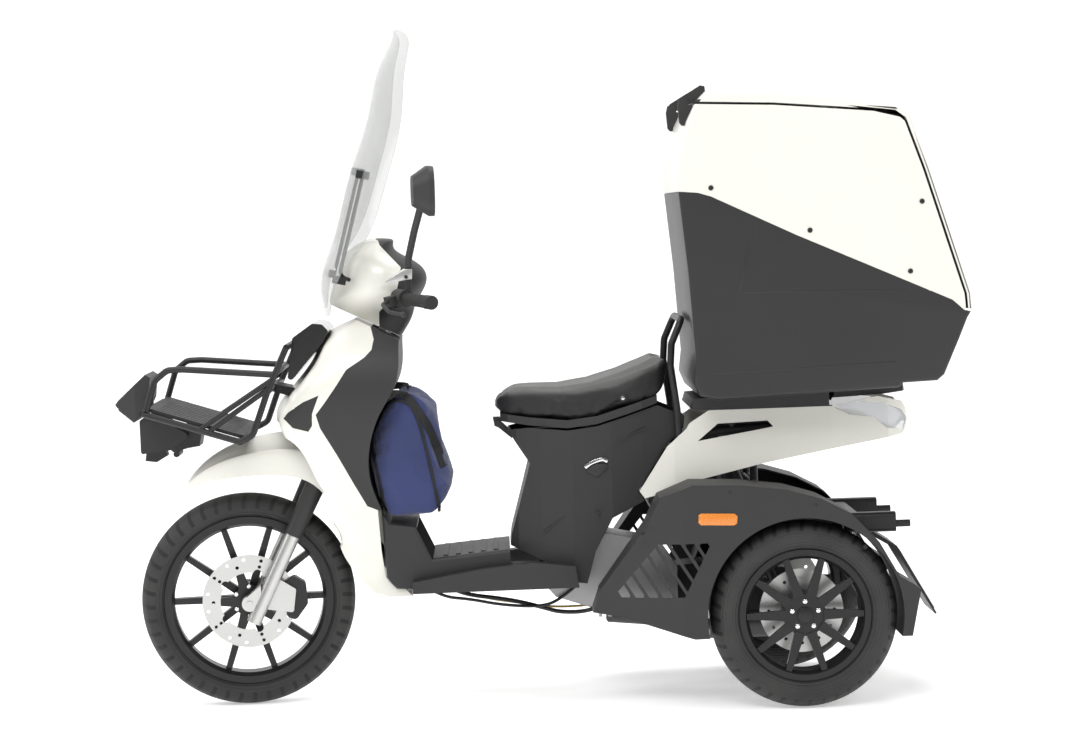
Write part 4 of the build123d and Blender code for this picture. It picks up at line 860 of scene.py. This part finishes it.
# side reflectors in a black surround
reflector = {
    "shell": [(262, 494), (256, 499), (166, 496), (160, 488), (162, 466), (170, 461), (258, 464), (263, 472)],
    "lens": [(259, 492), (252, 496), (170, 493), (163, 486), (165, 469), (172, 464), (254, 467), (260, 473)],
    "middle": (210, 479), "sunk": 1.0, "shellOut": 0.4, "lensOut": 1.0,
    "shellEdge": 0.0003, "lensEdge": 0.0006,
}
for way, word, wing in ((1, "Left", "rear_wing_left"), (-1, "Right", "rear_wing_right")):
    y = skin(nodes[wing], *reflector["middle"], way)
    low, high = sorted((y - way * reflector["sunk"], y + way * reflector["shellOut"]))
    shell = outlinePlate("reflectorBack" + word, reflector["shell"], low, high)
    placed(eased(shell, reflector["shellEdge"]), "chassis", "black_plastic")
    low, high = sorted((y - way * reflector["sunk"], y + way * reflector["lensOut"]))
    lens = outlinePlate("reflector" + word, reflector["lens"], low, high)
    placed(eased(lens, reflector["lensEdge"]), "chassis", "clear_lens", amber.material)

# blank plate on its bracket behind
plate = outlinePlate("blankPlate", [(-274, 356), (-362, 200), (-363.6, 200.9), (-275.6, 356.9)], -88, 88)
placed(eased(plate, 0.0006), "chassis", "white_panel")

# seat lock, on the left only
lockSize = {"at": (427, 772), "radius": 0.0095, "depth": 0.008, "coreRadius": 0.0045, "coreDepth": 0.003}
lockX, lockZ = lockSize["at"]
y = skin(cushion, lockX, lockZ)
lock = disc("seatLock", spot(lockX, y - 1, lockZ), (0, 1, 0), lockSize["radius"], lockSize["depth"], 0.0012)
placed(lock, "seat", "black_plastic")
place = spot(lockX, y + 2.5, lockZ)
core = disc("seatLockCore", place, (0, 1, 0), lockSize["coreRadius"], lockSize["coreDepth"], 0.0008)
placed(core, "seat", "fork_silver", chrome)

# folding foot pegs and the grooves of the cover, on each side
peg = {
    "at": (490, 600), "sunk": 4, "blade": [(528, 598), (511, 610), (484, 618), (470, 612)], "bladeHalf": 4.5,
    "bladeOut": 7, "padOut": 5,
    "pad": [(524, 588), (520, 596), (498, 608), (474, 606), (468, 596), (497, 572)],
}
cover = {
    "half": 1.6, "sunk": 3, "out": 1.4, "lines": [
        [(474, 627), (436, 655), (405, 680), (368, 694)],
        [(485, 622), (455, 655), (440, 668)],
        [(640, 432), (590, 470), (538, 490), (493, 497), (464, 474)],
    ],
}
for way, word in ((1, "Left"), (-1, "Right")):
    y = skin(nodes["underseat_body"], *peg["at"], way)
    low, high = sorted((y - way * peg["sunk"], y + way * peg["bladeOut"]))
    blade = ribbon("pegBlade" + word, rounded(peg["blade"]), peg["bladeHalf"], low, high)
    placed(eased(blade, 0.0012), "chassis", "fork_silver", chrome)
    low, high = sorted((y - way * peg["sunk"], y + way * peg["padOut"]))
    pad = outlinePlate("pegPad" + word, peg["pad"], low, high)
    placed(eased(pad, 0.002), "chassis", "black_plastic")
    grooves = []
    for i, line in enumerate(cover["lines"]):
        y = skin(nodes["underseat_body"], *line[1], way)
        low, high = sorted((y - way * cover["sunk"], y + way * cover["out"]))
        grooves.append(ribbon("coverGroove" + word + str(i), rounded(line), cover["half"], low, high))
    placed(eased(joined("coverGrooves" + word, grooves), 0.0006), "chassis", "black_plastic")

# a pipe, a hose and a cable clipped under the floor
floorLines = {
    "floorPipe": {"radius": 0.004, "finish": None, "points": [
        (935, 120, 300), (900, 120, 276), (830, 118, 268), (754, 112, 250), (652, 104, 240), (600, 100, 256),
        (560, 96, 290),
    ]},
    "floorHose": {"radius": 0.0055, "finish": None, "points": [
        (880, 100, 300), (860, 100, 280), (728, 96, 261), (640, 94, 236), (601, 92, 223), (525, 88, 222),
        (480, 84, 240),
    ]},
    "floorCable": {
        "radius": 0.003, "finish": metalled("brassPlated", (0.35, 0.25, 0.08), 0.35, metal=0.9),
        "points": [(880, 60, 290), (800, 60, 262), (700, 60, 246), (600, 62, 230), (520, 64, 236)],
    },
}
for name, line in floorLines.items():
    tube(name, line["points"], line["radius"], "chassis", "black_metal", line["finish"])

# controls: silver lever perches and their bolts
perchSize = {
    "outline": [(968, 1126), (969, 1101), (1030, 1092), (1037, 1095), (1022, 1106), (990, 1127)],
    "inner": 205, "outer": 219, "edge": 0.002,
    "bolt": (984, 220, 1107), "boltRadius": 0.0045, "boltDepth": 0.008,
}
for way, word in ((1, "Left"), (-1, "Right")):
    perch = outlinePlate("perch" + word, perchSize["outline"], perchSize["inner"], perchSize["outer"])
    for vertex in perch.data.vertices:
        place = vertex.co * 1000
        vertex.co = steeredSpot(place.x + rearAxle, way * place.y, place.z)
    pick(perch)
    bpy.ops.object.mode_set(mode="EDIT")
    bpy.ops.mesh.select_all(action="SELECT")
    bpy.ops.mesh.normals_make_consistent(inside=False)
    bpy.ops.object.mode_set(mode="OBJECT")
    placed(eased(perch, perchSize["edge"]), "steering", "fork_silver")
    x, y, z = perchSize["bolt"]
    place = steeredSpot(x, way * y, z)
    radius, depth = perchSize["boltRadius"], perchSize["boltDepth"]
    bolt = disc("perchBolt" + word, place, (0, way, 0), radius, depth, 0.001)
    placed(bolt, "steering", "black_metal")

# hub bolts, and centre caps on the rear wheels
frontBolts = {"ways": (1, -1), "count": 6, "ring": 38, "head": 0.006, "cap": 0}
rearBolts = {
    "count": 5, "ring": 34, "head": 0.0065, "cap": 0.02, "capDepth": 0.006, "capSeat": 3.3, "beside": 18,
}
wheels = {
    "front_wheel": {"hub": (1403, 0, 275), "put": steeredSpot, **frontBolts},
    "rear_left_wheel": {"hub": (0, 320, 233), "put": spot, "ways": (1,), **rearBolts},
    "rear_right_wheel": {"hub": (0, -320, 233), "put": spot, "ways": (-1,), **rearBolts},
}
for body, wheel in wheels.items():
    x, y, z = wheel["hub"]
    put = wheel["put"]
    rim = nodes[body.replace("wheel", "rim")]
    heads = []
    for way in wheel["ways"]:
        facing = (put(x, y + way * 100, z) - put(x, y, z)).normalized()
        for i in range(wheel["count"]):
            a = math.radians(90 + i * 360 / wheel["count"])
            place = put(x + wheel["ring"] * math.cos(a), y + way * 150, z + wheel["ring"] * math.sin(a))
            hit, point, normal, index = rim.ray_cast(place, -facing)
            if hit:
                heads.append((point + facing * 0.002, facing))
    screws(body + "Bolts", heads, wheel["head"], "fork_silver", body, chrome)
    if wheel["cap"]:
        # the hub is bored for its axle, so its face is found beside the bore
        way = wheel["ways"][0]
        hubFace = skin(rim, x + wheel["beside"], z, way)
        place = spot(x, hubFace + way * wheel["capSeat"], z)
        cap = disc(body + "Cap", place, (0, way, 0), wheel["cap"], wheel["capDepth"], 0.002)
        placed(cap, body, "black_alloy")

# mirror glass in its rim
mirror = {
    "at": (916.6, 298, 1323), "halfWidth": 70, "halfHeight": 51, "roundness": 0.55,
    "thick": 0.0012, "corners": 48,
}
glassFace = Finish("mirrorGlass", Metallic=1.0)
haze = glassFace.place.noise(4.0, 2.0)
glassFace.fix(
    Base_Color=haze.shades([(0.3, (0.68, 0.7, 0.72)), (0.7, (0.76, 0.78, 0.8))]),
    Roughness=(haze * 0.03 + 0.03).clear(),
)
nothingSelected()
bpy.ops.mesh.primitive_circle_add(vertices=mirror["corners"], radius=1, fill_type="NGON")
glass = bpy.context.object
glass.name = "mirrorFace"


def squared(part):
    # pushes a circle out towards its corners
    return math.copysign(abs(part) ** mirror["roundness"], part)


mirrorX, mirrorY, mirrorZ = mirror["at"]
for vertex in glass.data.vertices:
    a = math.atan2(vertex.co.y, vertex.co.x)
    wide = mirror["halfWidth"] * squared(math.cos(a))
    high = mirror["halfHeight"] * squared(math.sin(a))
    vertex.co = steeredSpot(mirrorX, mirrorY + wide, mirrorZ + high)
applied(glass, "SOLIDIFY", thickness=mirror["thick"], offset=0)
placed(glass, "steering", "fork_silver", glassFace.material)
print("small parts dressed")
